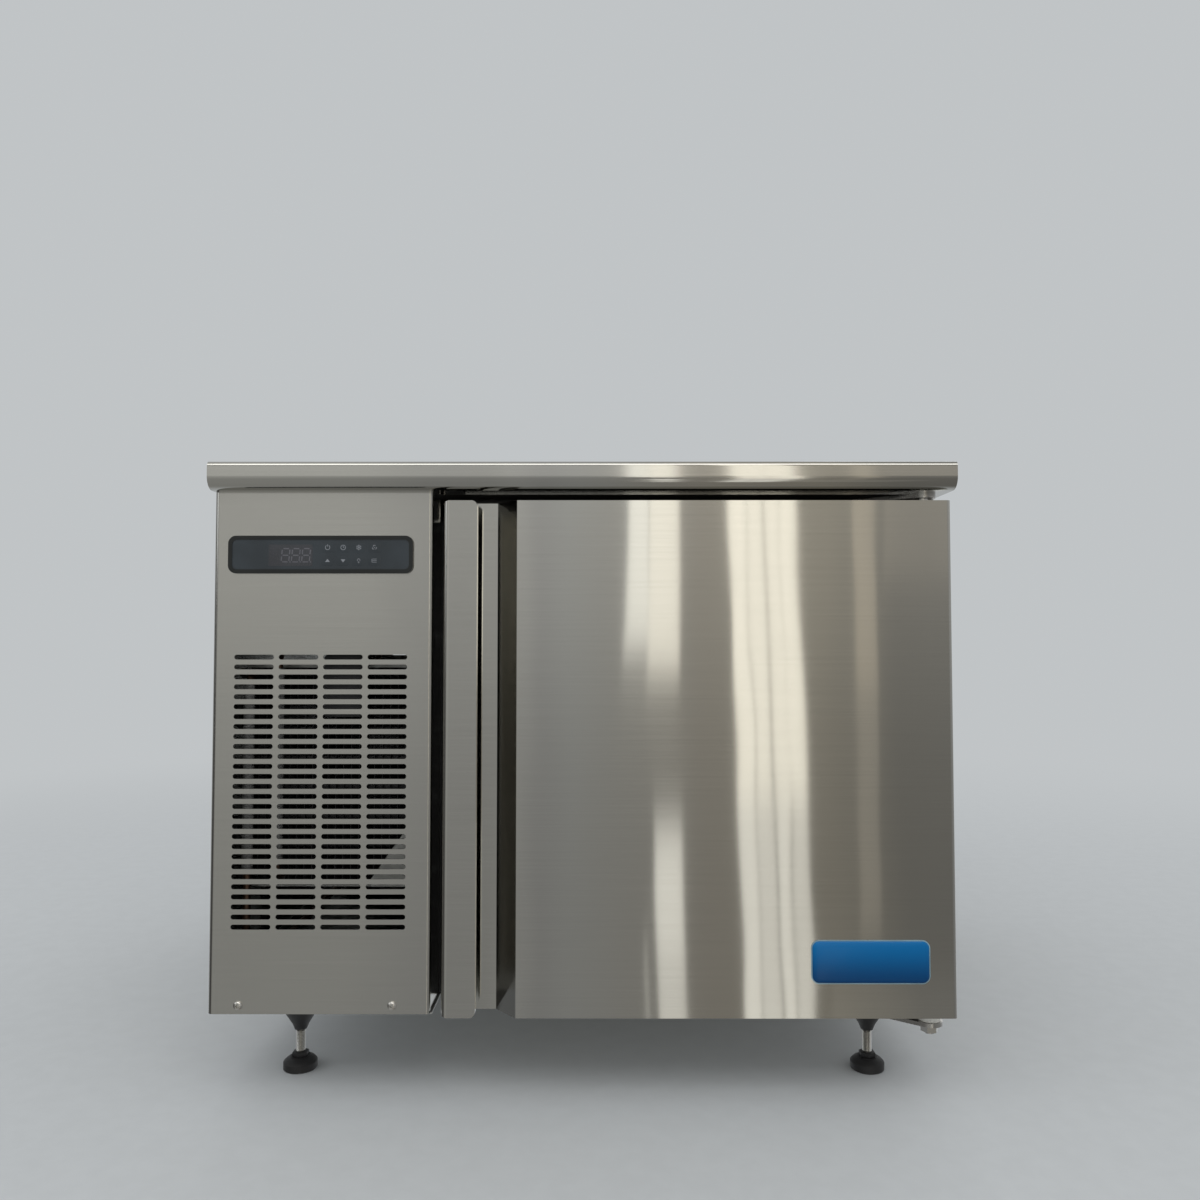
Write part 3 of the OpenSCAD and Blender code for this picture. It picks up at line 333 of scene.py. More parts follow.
class WorldSheet(NodeSheet):
    """The world's node tree, which reads the direction of a ray in place of object coordinates."""

    def __init__(self, name: str) -> None:
        """Starts an empty tree.

        Args:
            name: The world's name.
        """
        self.world = bpy.data.worlds.new(name)
        self.world.use_nodes = True
        self.tree = self.world.node_tree
        self.tree.nodes.clear()
        self.coord = self.add("ShaderNodeTexCoord").outputs["Generated"]

    def ramp(self, value: Any, stops: Sequence[tuple[float, RGB]]) -> Any:
        """A colour ramp over a direction's part from -1 to 1.

        Args:
            value: The part's socket.
            stops: Each stop's place from 0 to 1, and its colour.

        Returns:
            The colour socket.
        """
        node = self.add("ShaderNodeValToRGB")
        row = node.color_ramp.elements
        while len(row) < len(stops):
            row.new(0.5)
        for stop, (at, colour) in zip(row, stops):
            stop.position, stop.color = at, (*colour, 1.0)
        self.link(self.span(value, -1.0, 1.0, course=Course.STRAIGHT), node.inputs[0])
        return node.outputs[0]

    def backdrop(self, colour: Any, strength: float = 1.0) -> Any:
        """A background shader.

        Args:
            colour: Colour or socket.
            strength: Its brightness, where 1 shows the colour as it is.

        Returns:
            The shader socket.
        """
        node = self.add("ShaderNodeBackground")
        self.link((*colour, 1.0) if isinstance(colour, tuple) else colour, node.inputs[0])
        self.link(strength, node.inputs[1])
        return node.outputs[0]


def scaled(colour: RGB, factor: float) -> RGB:
    """A colour made lighter or darker.

    Args:
        colour: Linear red, green and blue.
        factor: What each is multiplied by.

    Returns:
        The new colour, each part at most 1.
    """
    return tuple(min(1.0, c * factor) for c in colour)


# ---------------------------------------------------------------- finishes
_MADE: dict["Finish", bpy.types.Material] = {}


@dataclass(frozen=True)
class Finish:
    """A finish: a name, a colour and a roughness, turned into one material when first used."""

    name: str
    colour: RGB
    roughness: float

    def material(self) -> bpy.types.Material:
        """The material of this finish, built once."""
        if self not in _MADE:
            _MADE[self] = self.build()
        return _MADE[self]

    def build(self) -> bpy.types.Material:
        """Builds the material; each kind of finish has its own."""
        raise NotImplementedError


@dataclass(frozen=True)
class BrushedSteel(Finish):
    """Stainless sheet with polishing lines, and the slight waves of a folded panel.

    draw is how far its highlights are drawn out, wave the depth of its waves in metres, and lines
    the strength of its polishing lines. rim is the height above which an edge is polished, with
    its share of the roughness. painted_reflection is the stretch along X of a slope that mirrors
    the dark recess beside it, with its share of the tone: there the colour is darkened, a painted
    reflection of that recess.
    """

    grain: Grain = Grain.LEVEL
    spread: Spread = Spread.UPRIGHT
    draw: float = 0.95
    wave: float = 0.0
    wave_scale: Point = (7.0, 7.0, 2.6)
    lines: float = 1.0
    rim: tuple[float, float] | None = None
    painted_reflection: tuple[float, float, float] | None = None
    rim_edge: float = 0.0006
    painted_reflection_edge: float = 0.0008

    def build(self) -> bpy.types.Material:
        """Builds the material.

        Returns:
            The brushed sheet material.
        """
        sheet = NodeSheet(self.name)
        fine = sheet.noise(self.grain.value, 3.0, 0.62)
        coarse = tuple(v * (0.3 if v > 100 else 1.2) for v in self.grain.value)
        band = sheet.noise(coarse, 2.0, 0.5, (3.1, 1.7, 0.4))
        smudge = sheet.noise(9.0, 4.0, 0.55, (0.3, 2.2, 5.1))
        mix = sheet.math("ADD", sheet.math("MULTIPLY", fine, 0.85), sheet.math("MULTIPLY", band, 0.15))
        tone = sheet.blend(
            sheet.span(mix, 0.3, 0.7),
            scaled(self.colour, 1.0 - 0.07 * self.lines),
            scaled(self.colour, 1.0 + 0.05 * self.lines),
        )
        tone = sheet.blend(sheet.span(smudge, 0.5, 0.8, 0.0, 0.25), tone, scaled(self.colour, 0.88))
        gloss = sheet.math(
            "ADD",
            sheet.span(mix, 0.3, 0.7, self.roughness * 0.95, self.roughness * 1.08),
            sheet.span(smudge, 0.45, 0.8, 0.0, 0.012),
        )
        if self.rim:
            height, least = self.rim
            share = sheet.span(sheet.axes()["Z"], height - self.rim_edge, height, least, 1.0)
            gloss = sheet.math("MULTIPLY", gloss, share)
        # painted reflection: along this stretch of X the colour is darkened to its given share, standing for
        # the dark recess that the slope mirrors
        if self.painted_reflection:
            start, end, dark = self.painted_reflection
            across, soft = sheet.axes()["X"], self.painted_reflection_edge
            into = sheet.span(across, start - soft, start + soft)
            out_of = sheet.span(across, end - soft, end + soft, 1.0, 0.0)
            tone = sheet.blend(sheet.math("MULTIPLY", into, out_of), tone, scaled(self.colour, dark))
        normal = None
        if self.wave:
            sway = sheet.noise(self.wave_scale, 2.0, 0.45, (1.9, 0.2, 0.8))
            normal = sheet.bump(sway, self.wave)
        normal = sheet.bump(fine, 0.000003 * self.lines, normal)
        lean = sheet.add("ShaderNodeCombineXYZ")
        for socket, part in zip(lean.inputs, self.spread.value):
            socket.default_value = part
        return sheet.surface(
            Base_Color=tone,
            Metallic=1.0,
            Roughness=gloss,
            Anisotropic=self.draw,
            Tangent=lean.outputs[0],
            Normal=normal,
        )


@dataclass(frozen=True)
class BareMetal(Finish):
    """Metal without polishing lines: turned, drawn, plated or stamped."""

    stain: RGB = (0.3, 0.3, 0.3)
    stained: float = 0.25
    pitch: float = 60.0
    turned: float = 0.0

    def build(self) -> bpy.types.Material:
        """Builds the material.

        Returns:
            The bare metal material.
        """
        sheet = NodeSheet(self.name)
        blotch = sheet.noise(self.pitch, 4.0, 0.6)
        speck = sheet.noise(self.pitch * 14, 2.0, 0.5, (4.0, 1.0, 2.0))
        tone = sheet.blend(sheet.span(blotch, 0.45, 0.75, 0.0, self.stained), self.colour, self.stain)
        gloss = sheet.span(blotch, 0.3, 0.75, self.roughness - 0.05, self.roughness + 0.1)
        normal = sheet.bump(speck, 0.00001)
        if self.turned:
            rings = sheet.noise((120.0, 120.0, self.turned), 1.0, 0.3)
            normal = sheet.bump(rings, 0.00002, normal)
        return sheet.surface(Base_Color=tone, Metallic=1.0, Roughness=gloss, Normal=normal)


@dataclass(frozen=True)
class Galvanised(Finish):
    """Zinc coated sheet with its spangle."""

    def build(self) -> bpy.types.Material:
        """Builds the material.

        Returns:
            The galvanised material.
        """
        sheet = NodeSheet(self.name)
        flake = sheet.cells(75.0)
        crystal = sheet.span(flake.outputs["Color"], 0.1, 0.9)
        dust = sheet.noise(14.0, 4.0, 0.6)
        tone = sheet.blend(crystal, scaled(self.colour, 0.82), scaled(self.colour, 1.12))
        tone = sheet.blend(sheet.span(dust, 0.5, 0.8, 0.0, 0.35), tone, (0.3, 0.3, 0.29))
        gloss = sheet.span(flake.outputs["Distance"], 0.0, 0.8, self.roughness - 0.08, self.roughness + 0.1)
        normal = sheet.bump(flake.outputs["Distance"], 0.00003)
        return sheet.surface(Base_Color=tone, Metallic=0.9, Roughness=gloss, Normal=normal)


@dataclass(frozen=True)
class Enamel(Finish):
    """Sprayed paint with orange peel and a little dust."""

    peel: float = 0.00003
    dust: RGB = (0.2, 0.19, 0.17)
    dusty: float = 0.12

    def build(self) -> bpy.types.Material:
        """Builds the material.

        Returns:
            The painted material.
        """
        sheet = NodeSheet(self.name)
        film = sheet.noise(420.0, 2.0, 0.4)
        cloud = sheet.noise(26.0, 5.0, 0.6, (2.0, 5.0, 1.0))
        tone = sheet.blend(sheet.span(cloud, 0.5, 0.8, 0.0, self.dusty), self.colour, self.dust)
        gloss = sheet.span(cloud, 0.35, 0.75, self.roughness - 0.04, self.roughness + 0.14)
        return sheet.surface(
            Base_Color=tone,
            Roughness=gloss,
            Coat_Weight=0.25,
            Coat_Roughness=0.2,
            Normal=sheet.bump(film, self.peel),
        )


@dataclass(frozen=True)
class Moulding(Finish):
    """Moulded plastic: an even spark-eroded texture, or a smooth gloss where it has none."""

    texture: float = 0.00004
    texture_scale: float = 900.0
    coat: float = 0.0

    def build(self) -> bpy.types.Material:
        """Builds the material.

        Returns:
            The plastic material.
        """
        sheet = NodeSheet(self.name)
        erode = sheet.noise(self.texture_scale, 3.0, 0.6)
        cloud = sheet.noise(35.0, 3.0, 0.5, (1.0, 4.0, 2.0))
        tone = sheet.blend(
            sheet.span(cloud, 0.35, 0.7), scaled(self.colour, 0.9), scaled(self.colour, 1.14)
        )
        gloss = sheet.span(erode, 0.3, 0.7, self.roughness - 0.05, self.roughness + 0.07)
        return sheet.surface(
            Base_Color=tone,
            Roughness=gloss,
            Coat_Weight=self.coat,
            Coat_Roughness=0.08,
            Normal=sheet.bump(erode, self.texture),
        )


@dataclass(frozen=True)
class Rubber(Finish):
    """Matt rubber with a pale bloom in places."""

    bloom: RGB = (0.16, 0.16, 0.16)

    def build(self) -> bpy.types.Material:
        """Builds the material.

        Returns:
            The rubber material.
        """
        sheet = NodeSheet(self.name)
        pore = sheet.noise(1300.0, 2.0, 0.6)
        haze = sheet.noise(48.0, 5.0, 0.65, (7.0, 2.0, 3.0))
        tone = sheet.blend(sheet.span(haze, 0.48, 0.8, 0.0, 0.4), self.colour, self.bloom)
        gloss = sheet.span(haze, 0.3, 0.7, self.roughness - 0.08, self.roughness + 0.1)
        return sheet.surface(
            Base_Color=tone, Roughness=gloss, Sheen_Weight=0.15, Normal=sheet.bump(pore, 0.00005)
        )


@dataclass(frozen=True)
class RigidFoam(Finish):
    """Cut polyurethane foam with closed cells."""

    def build(self) -> bpy.types.Material:
        """Builds the material.

        Returns:
            The foam material.
        """
        sheet = NodeSheet(self.name)
        cell = sheet.cells(520.0).outputs["Distance"]
        age = sheet.noise(16.0, 4.0, 0.6)
        tone = sheet.blend(sheet.span(cell, 0.0, 0.6), scaled(self.colour, 0.7), self.colour)
        tone = sheet.blend(sheet.span(age, 0.4, 0.75, 0.0, 0.4), tone, (0.6, 0.42, 0.18))
        return sheet.surface(Base_Color=tone, Roughness=self.roughness, Normal=sheet.bump(cell, 0.0003))


@dataclass(frozen=True)
class StiffBoard(Finish):
    """Plain board with long fibres in the worktop.

    Where it shows above the door, its near-black colour is painted shade.
    """

    def build(self) -> bpy.types.Material:
        """Builds the material.

        Returns:
            The board material.
        """
        sheet = NodeSheet(self.name)
        fibre = sheet.noise((8.0, 260.0, 260.0), 4.0, 0.6)
        chip = sheet.noise((120.0, 160.0, 160.0), 3.0, 0.6, (1.0, 1.0, 6.0))
        dark, light = scaled(self.colour, 0.7), scaled(self.colour, 1.15)
        tone = sheet.blend(sheet.span(fibre, 0.3, 0.7), dark, light)
        tone = sheet.blend(sheet.span(chip, 0.55, 0.7, 0.0, 0.5), tone, scaled(self.colour, 0.5))
        return sheet.surface(Base_Color=tone, Roughness=self.roughness, Normal=sheet.bump(fibre, 0.0001))


@dataclass(frozen=True)
class FinnedCoil(Finish):
    """Thin fins with rolled ripples across them, and tubes of the same metal."""

    metal: float = 1.0
    ripple: Point = (0.0, 330.0, 0.0)

    def build(self) -> bpy.types.Material:
        """Builds the material.

        Returns:
            The coil material.
        """
        sheet = NodeSheet(self.name)
        wave = sheet.add("ShaderNodeTexWave", wave_type="BANDS", bands_direction="DIAGONAL")
        sheet.link(sheet.mapped(self.ripple), wave.inputs["Vector"])
        wave.inputs["Scale"].default_value = 1.0
        wave.inputs["Distortion"].default_value = 0.4
        dust = sheet.noise(30.0, 5.0, 0.65)
        tone = sheet.blend(sheet.span(dust, 0.45, 0.8, 0.0, 0.5), self.colour, scaled(self.colour, 0.55))
        gloss = sheet.span(dust, 0.3, 0.8, self.roughness - 0.05, self.roughness + 0.2)
        return sheet.surface(
            Base_Color=tone,
            Metallic=self.metal,
            Roughness=gloss,
            Normal=sheet.bump(wave.outputs["Fac"], 0.00015),
        )


@dataclass(frozen=True)
class DomedResin(Finish):
    """Clear resin over a printed field.

    The field runs from a lighter top to a darker foot: painted light, as if lit from above.
    """

    foot: RGB = (0.0, 0.05, 0.2)
    low: float = 0.122
    high: float = 0.165

    def build(self) -> bpy.types.Material:
        """Builds the material.

        Returns:
            The resin material.
        """
        sheet = NodeSheet(self.name)
        # painted light: the field is lighter at the top and darker at the foot
        rise = sheet.span(sheet.axes()["Z"], self.low, self.high)
        print_grain = sheet.noise(2600.0, 1.0, 0.5)
        tone = sheet.blend(rise, self.foot, self.colour)
        tone = sheet.blend(sheet.span(print_grain, 0.3, 0.7, 0.0, 0.07), tone, scaled(self.colour, 1.5))
        swell = sheet.noise(55.0, 1.0, 0.4)
        return sheet.surface(
            Base_Color=tone,
            Roughness=sheet.span(print_grain, 0.2, 0.8, self.roughness, self.roughness + 0.05),
            Coat_Weight=0.12,
            Coat_Roughness=0.1,
            IOR=1.28,
            Normal=sheet.bump(swell, 0.00003),
        )


STEEL = (0.56, 0.555, 0.525)
BRIGHT = (0.62, 0.615, 0.59)

SATIN_SHEET = BrushedSteel("satin_sheet", STEEL, 0.25, wave=0.00022)
# the door's painted_reflection darkens the colour of the slope beside the handle's recess: a painted
# reflection of that dark recess
DOOR_SHEET = BrushedSteel(
    "door_sheet", STEEL, 0.08, draw=1.0, wave=0.0007, wave_scale=(6.0, 6.0, 2.4), lines=0.5,
    painted_reflection=(-0.0872, -0.0665, 0.6),
)
HANDLE_SHEET = BrushedSteel("handle_sheet", STEEL, 0.14, wave=0.0002, lines=0.5)
PANEL_SHEET = BrushedSteel("front_panel_sheet", STEEL, 0.14, wave=0.0002, lines=0.5)
# painted shade: the front frame is the same stainless steel as the rest, its colour halved so that it looks
# shaded in its recess
SHADED_FRAME_SHEET = BrushedSteel("front_frame_painted_shade", scaled(STEEL, 0.5), 0.07, wave=0.0001)
TOP_SHEET = BrushedSteel(
    "worktop_sheet", STEEL, 0.22, grain=Grain.ALONG_X, spread=Spread.ACROSS_X, draw=0.6, wave=0.00015,
    wave_scale=(3.0, 7.0, 7.0), lines=0.5, rim=(0.642, 0.45),
)
INNER_SHEET = BrushedSteel("inner_sheet", BRIGHT, 0.25, draw=0.85, wave=0.00015)
RUNNER_SHEET = BrushedSteel(
    "runner_sheet", BRIGHT, 0.24, grain=Grain.ALONG_Y, spread=Spread.ACROSS_Y, draw=0.8
)
BASE_SHEET = Galvanised("galvanised_sheet", (0.5, 0.51, 0.5), 0.42)
# galvanised sheet much darker than the base sheet
BOX_SHEET = Galvanised("dark_galvanised_sheet", (0.13, 0.13, 0.125), 0.5)
SCREW_STEEL = BareMetal("screw_steel", (0.72, 0.71, 0.68), 0.16, stained=0.15, pitch=300.0)
HINGE_STEEL = BareMetal("hinge_steel", (0.55, 0.54, 0.52), 0.27, stained=0.3, pitch=120.0)
SIGNAL_BLACK = Moulding("black_moulding", (0.022, 0.023, 0.025), 0.5)
PALE_NYLON = Moulding("pale_nylon", (0.72, 0.71, 0.66), 0.42, texture=0.00002)
BEZEL = Moulding("bezel_moulding", (0.007, 0.009, 0.009), 0.36, texture=0.00001)
FACE_FILM = Moulding("face_film", (0.027, 0.035, 0.042), 0.32, texture=0.000006, texture_scale=1600.0)
DISPLAY_FILM = Moulding("display_window", (0.034, 0.036, 0.042), 0.22, texture=0.000002, coat=0.2)
SEGMENT_FILM = Moulding("unlit_segment", (0.1, 0.1, 0.115), 0.4, texture=0.000002)
SYMBOL_INK = Moulding("symbol_ink", (0.23, 0.245, 0.27), 0.55, texture=0.000004)
SLEEVE_GREY = Moulding("sleeve_moulding", (0.17, 0.17, 0.165), 0.55, texture=0.00002)
# painted light: the badge's blue runs from a darker foot to a lighter top
BADGE_BLUE = DomedResin("badge_blue", (0.002, 0.13, 0.35), 0.2, foot=(0.002, 0.04, 0.13))
# painted highlight: the backing's pale blue-grey rim stands for the light that the dome's edge catches
BADGE_RIM_HIGHLIGHT = Moulding("badge_rim_painted_highlight", (0.2, 0.32, 0.38), 0.3, texture=0.000004, coat=0.2)
PIPE_COPPER = BareMetal(
    "tarnished_copper", (0.2, 0.13, 0.095), 0.42, stain=(0.07, 0.045, 0.035), stained=0.7
)

BY_SLOT: dict[str, Finish] = {
    "satin_steel": SATIN_SHEET,
    "bright_steel": INNER_SHEET,
    "screw_steel": SCREW_STEEL,
    "galvanised": BASE_SHEET,
    # painted shade: the board is kept near black so that where it shows above the door it stands for the
    # shade under the worktop's nose
    "board": StiffBoard("stiffening_board_painted_shade", (0.05, 0.048, 0.045), 0.8),
    "foam": RigidFoam("rigid_foam", (0.8, 0.7, 0.42), 0.85),
    "grey_plastic": Moulding("grey_moulding", (0.3, 0.31, 0.32), 0.5),
    "black_plastic": SIGNAL_BLACK,
    "bezel_plastic": BEZEL,
    "face_film": FACE_FILM,
    "black_paint": Enamel("black_enamel", (0.012, 0.012, 0.013), 0.3),
    "green_paint": Enamel("green_enamel", (0.03, 0.14, 0.06), 0.35),
    "coil_black": FinnedCoil("black_coil", (0.03, 0.03, 0.032), 0.45, metal=0.3),
    "aluminium": FinnedCoil("bare_coil", (0.68, 0.69, 0.7), 0.35),
    "brass": BareMetal("machined_brass", (0.68, 0.46, 0.18), 0.26, stain=(0.3, 0.2, 0.08), turned=2400.0),
    "copper": BareMetal("drawn_copper", (0.72, 0.36, 0.2), 0.3, stain=(0.24, 0.1, 0.06), stained=0.55),
    "pipe_foam": Rubber("pipe_sleeve", (0.016, 0.016, 0.017), 0.8),
    "rubber": Rubber("black_rubber", (0.02, 0.02, 0.021), 0.7),
    "seal_rubber": Rubber("seal_rubber", (0.085, 0.086, 0.09), 0.62, bloom=(0.22, 0.22, 0.22)),
    "foot_black": Moulding("foot_moulding", (0.016, 0.016, 0.017), 0.55),
    "nylon": PALE_NYLON,
}

BY_NODE: dict[str, Finish] = {
    "worktop": TOP_SHEET,
    "front_panel": PANEL_SHEET,
    "door_skin": DOOR_SHEET,
    "door_handle": HANDLE_SHEET,
    "tray_runners_left": RUNNER_SHEET,
    "tray_runners_right": RUNNER_SHEET,
    "hinge_plate_top": HINGE_STEEL,
    "hinge_plate_bottom": HINGE_STEEL,
    "hinge_pins": SCREW_STEEL,
    "cell_front_frame": SHADED_FRAME_SHEET,
    "electrics_box": BOX_SHEET,
    "electrics_cover": BOX_SHEET,
    "supply_terminal_box": SIGNAL_BLACK,
    "discharge_pipe": PIPE_COPPER,
    "liquid_pipes": PIPE_COPPER,
}


# ---------------------------------------------------------------- shaping
class Shape:
    """A mesh in the making. Its operators work on new geometry, which add() joins to the rest."""

    def __init__(self) -> None:
        """Starts with an empty mesh."""
        self.bm = bmesh.new()

    def rounded_plate(
        self,
        centre: Point,
        width: float,
        height: float,
        radius: float,
        thick: float,
        crown: Iterable[tuple[float, float]] = (),
        segments: int = 6,
    ) -> "Shape":
        """A rounded plate that faces -Y.

        Args:
            centre: Middle of its back.
            width: Size along X.
            height: Size along Z.
            radius: Corner radius.
            thick: Height of its straight edge.
            crown: Insets of the face after that, each (width, rise).
            segments: Faces in a corner.

        Returns:
            This shape.
        """
        made = bmesh.ops.create_grid(self.bm, x_segments=1, y_segments=1, size=0.5)["verts"]
        bmesh.ops.scale(self.bm, vec=(width, height, 1.0), verts=made)
        turn = Matrix.Translation(centre) @ Matrix.Rotation(math.radians(90), 4, "X")
        bmesh.ops.transform(self.bm, matrix=turn, verts=made)
        edge = bmesh.ops.bevel(
            self.bm, geom=made, offset=radius, offset_type="OFFSET", segments=segments, profile=0.5,
            affect="VERTICES", material=-1,
        )
        face = edge["verts"][0].link_faces[0]
        grown = bmesh.ops.extrude_face_region(self.bm, geom=[face])["geom"]
        front = [g for g in grown if isinstance(g, bmesh.types.BMFace)]
        moved = [g for g in grown if isinstance(g, bmesh.types.BMVert)]
        bmesh.ops.translate(self.bm, vec=(0, -thick, 0), verts=moved)
        bmesh.ops.recalc_face_normals(self.bm, faces=self.bm.faces)
        for inset, rise in crown:
            bmesh.ops.inset_region(self.bm, faces=front, thickness=inset, depth=rise, use_even_offset=True)
        return self

    def slab(self, outline: Sequence[tuple[float, float]], y: float, thick: float) -> "Shape":
        """A flat shape that faces -Y, from its outline.

        Args:
            outline: Its corners in X and Z.
            y: Its back.
            thick: Its thickness towards -Y.

        Returns:
            This shape.
        """
        corners = [self.bm.verts.new((x, y, z)) for x, z in outline]
        face = self.bm.faces.new(corners)
        grown = bmesh.ops.extrude_face_region(self.bm, geom=[face])["geom"]
        moved = [g for g in grown if isinstance(g, bmesh.types.BMVert)]
        bmesh.ops.translate(self.bm, vec=(0, -thick, 0), verts=moved)
        return self

    def disc(self, x: float, z: float, radius: float, y: float, thick: float, count: int = 20) -> "Shape":
        """A flat disc that faces -Y.

        Args:
            x: Its middle along X.
            z: Its middle along Z.
            radius: Its radius.
            y: Its back.
            thick: Its thickness.
            count: Its corners.

        Returns:
            This shape.
        """
        turn = [2 * math.pi * k / count for k in range(count)]
        return self.slab([(x + radius * math.cos(a), z + radius * math.sin(a)) for a in turn], y, thick)

    def arc(
        self,
        x: float,
        z: float,
        radius: float,
        width: float,
        start: float,
        end: float,
        y: float,
        thick: float,
    ) -> "Shape":
        """A flat piece of a ring that faces -Y.

        Args:
            x: The ring's middle along X.
            z: The ring's middle along Z.
            radius: Its middle radius.
            width: Its width.
            start: Angle where it starts, in degrees.
            end: Angle where it ends.
            y: Its back.
            thick: Its thickness.

        Returns:
            This shape.
        """
        steps = max(4, int((end - start) / 15))
        turn = [math.radians(start + (end - start) * k / steps) for k in range(steps + 1)]
        outer, inner = (
            [(x + reach * math.cos(a), z + reach * math.sin(a)) for a in turn]
            for reach in (radius + width / 2, radius - width / 2)
        )
        for k in range(steps):
            self.slab([outer[k], outer[k + 1], inner[k + 1], inner[k]], y, thick)
        return self

    def bar(
        self, start: Sequence[float], end: Sequence[float], width: float, y: float, thick: float
    ) -> "Shape":
        """A flat stroke that faces -Y.

        Args:
            start: Its first end in X and Z.
            end: Its second end.
            width: Its width.
            y: Its back.
            thick: Its thickness.

        Returns:
            This shape.
        """
        a, b = Vector(start), Vector(end)
        side = (b - a).orthogonal().normalized() * width / 2
        return self.slab([tuple(a - side), tuple(b - side), tuple(b + side), tuple(a + side)], y, thick)

    def lathe(
        self,
        profile: Sequence[tuple[float, float]],
        centre: Point,
        steps: int = 48,
        turn: Matrix | None = None,
    ) -> "Shape":
        """A turned piece about +Z.

        Args:
            profile: Radius and height of each point, from one end of the axis to the other.
            centre: Where its axis starts.
            steps: Faces round it.
            turn: A rotation of the finished piece about its centre.

        Returns:
            This shape.
        """
        part = bmesh.new()
        line = [part.verts.new((r, 0.0, z)) for r, z in profile]
        edges = [part.edges.new(pair) for pair in zip(line, line[1:])]
        bmesh.ops.spin(
            part, geom=line + edges, axis=(0, 0, 1), cent=(0, 0, 0), angle=2 * math.pi, steps=steps,
            use_merge=True,
        )
        bmesh.ops.remove_doubles(part, verts=part.verts, dist=1e-7)
        bmesh.ops.dissolve_degenerate(part, edges=part.edges, dist=1e-8)
        bmesh.ops.recalc_face_normals(part, faces=part.faces)
        place = Matrix.Translation(centre) @ (turn.to_4x4() if turn else Matrix.Identity(4))
        bmesh.ops.transform(part, matrix=place, verts=part.verts)
        return self.add(part)

    def add(self, part: bmesh.types.BMesh) -> "Shape":
        """Joins another mesh to this one and frees it.

        Args:
            part: The mesh to join.

        Returns:
            This shape.
        """
        carrier = bpy.data.meshes.new("carrier")
        part.to_mesh(carrier)
        self.bm.from_mesh(carrier)
        bpy.data.meshes.remove(carrier)
        part.free()
        return self

    def piece(
        self, name: str, finish: Finish, body: str, smooth: float = 40.0, slot: str | None = None
    ) -> bpy.types.Object:
        """Ends the mesh as a piece of the object.

        Args:
            name: The piece's name.
            finish: Its finish.
            body: The body that it rides on.
            smooth: Angle in degrees up to which edges are shaded smooth, or 0.
            slot: The record's material slot, if it has one. It is not used.

        Returns:
            The new object.
        """
        bmesh.ops.recalc_face_normals(self.bm, faces=self.bm.faces)
        mesh = bpy.data.meshes.new(name)
        self.bm.to_mesh(mesh)
        self.bm.free()
        if smooth:
            mesh.shade_smooth()
            mesh.set_sharp_from_angle(angle=math.radians(smooth))
        mesh.materials.append(finish.material())
        made = bpy.data.objects.new(name, mesh)
        bpy.context.collection.objects.link(made)
        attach(made, body)
        LOG.info("piece %s: %d faces on %s", name, len(mesh.polygons), body)
        return made


# ---------------------------------------------------------------- small fittings
@dataclass
class Badge:
    """The bare domed badge on the door: a printed field under resin on a backing.

    The backing's pale rim round the dome is a painted highlight of the dome's edge.
    """

    left: float = 0.2277
    right: float = 0.3459
    low: float = 0.122
    high: float = 0.165
    door_face: float = DOOR_FACE
    corner: float = 0.008
    backing: float = 0.0007
    margin: float = 0.0011
    edge: float = 0.0003
    crown: tuple[tuple[float, float], ...] = (
        (0.0004, 0.0005), (0.0008, 0.0005), (0.0014, 0.0004), (0.002, 0.0003),
    )

    def build(self) -> None:
        """Makes the backing and the dome."""
        middle = ((self.left + self.right) / 2, self.door_face, (self.low + self.high) / 2)
        width, height = self.right - self.left, self.high - self.low
        Shape().rounded_plate(middle, width, height, self.corner, self.backing, segments=8).piece(
            "badge_backing", BADGE_RIM_HIGHLIGHT, "door"
        )
        seat = (middle[0], self.door_face - self.backing, middle[2])
        Shape().rounded_plate(
            seat, width - 2 * self.margin, height - 2 * self.margin, self.corner - self.margin, self.edge,
            self.crown, 8,
        ).piece("badge_dome", BADGE_BLUE, "door", smooth=60.0)


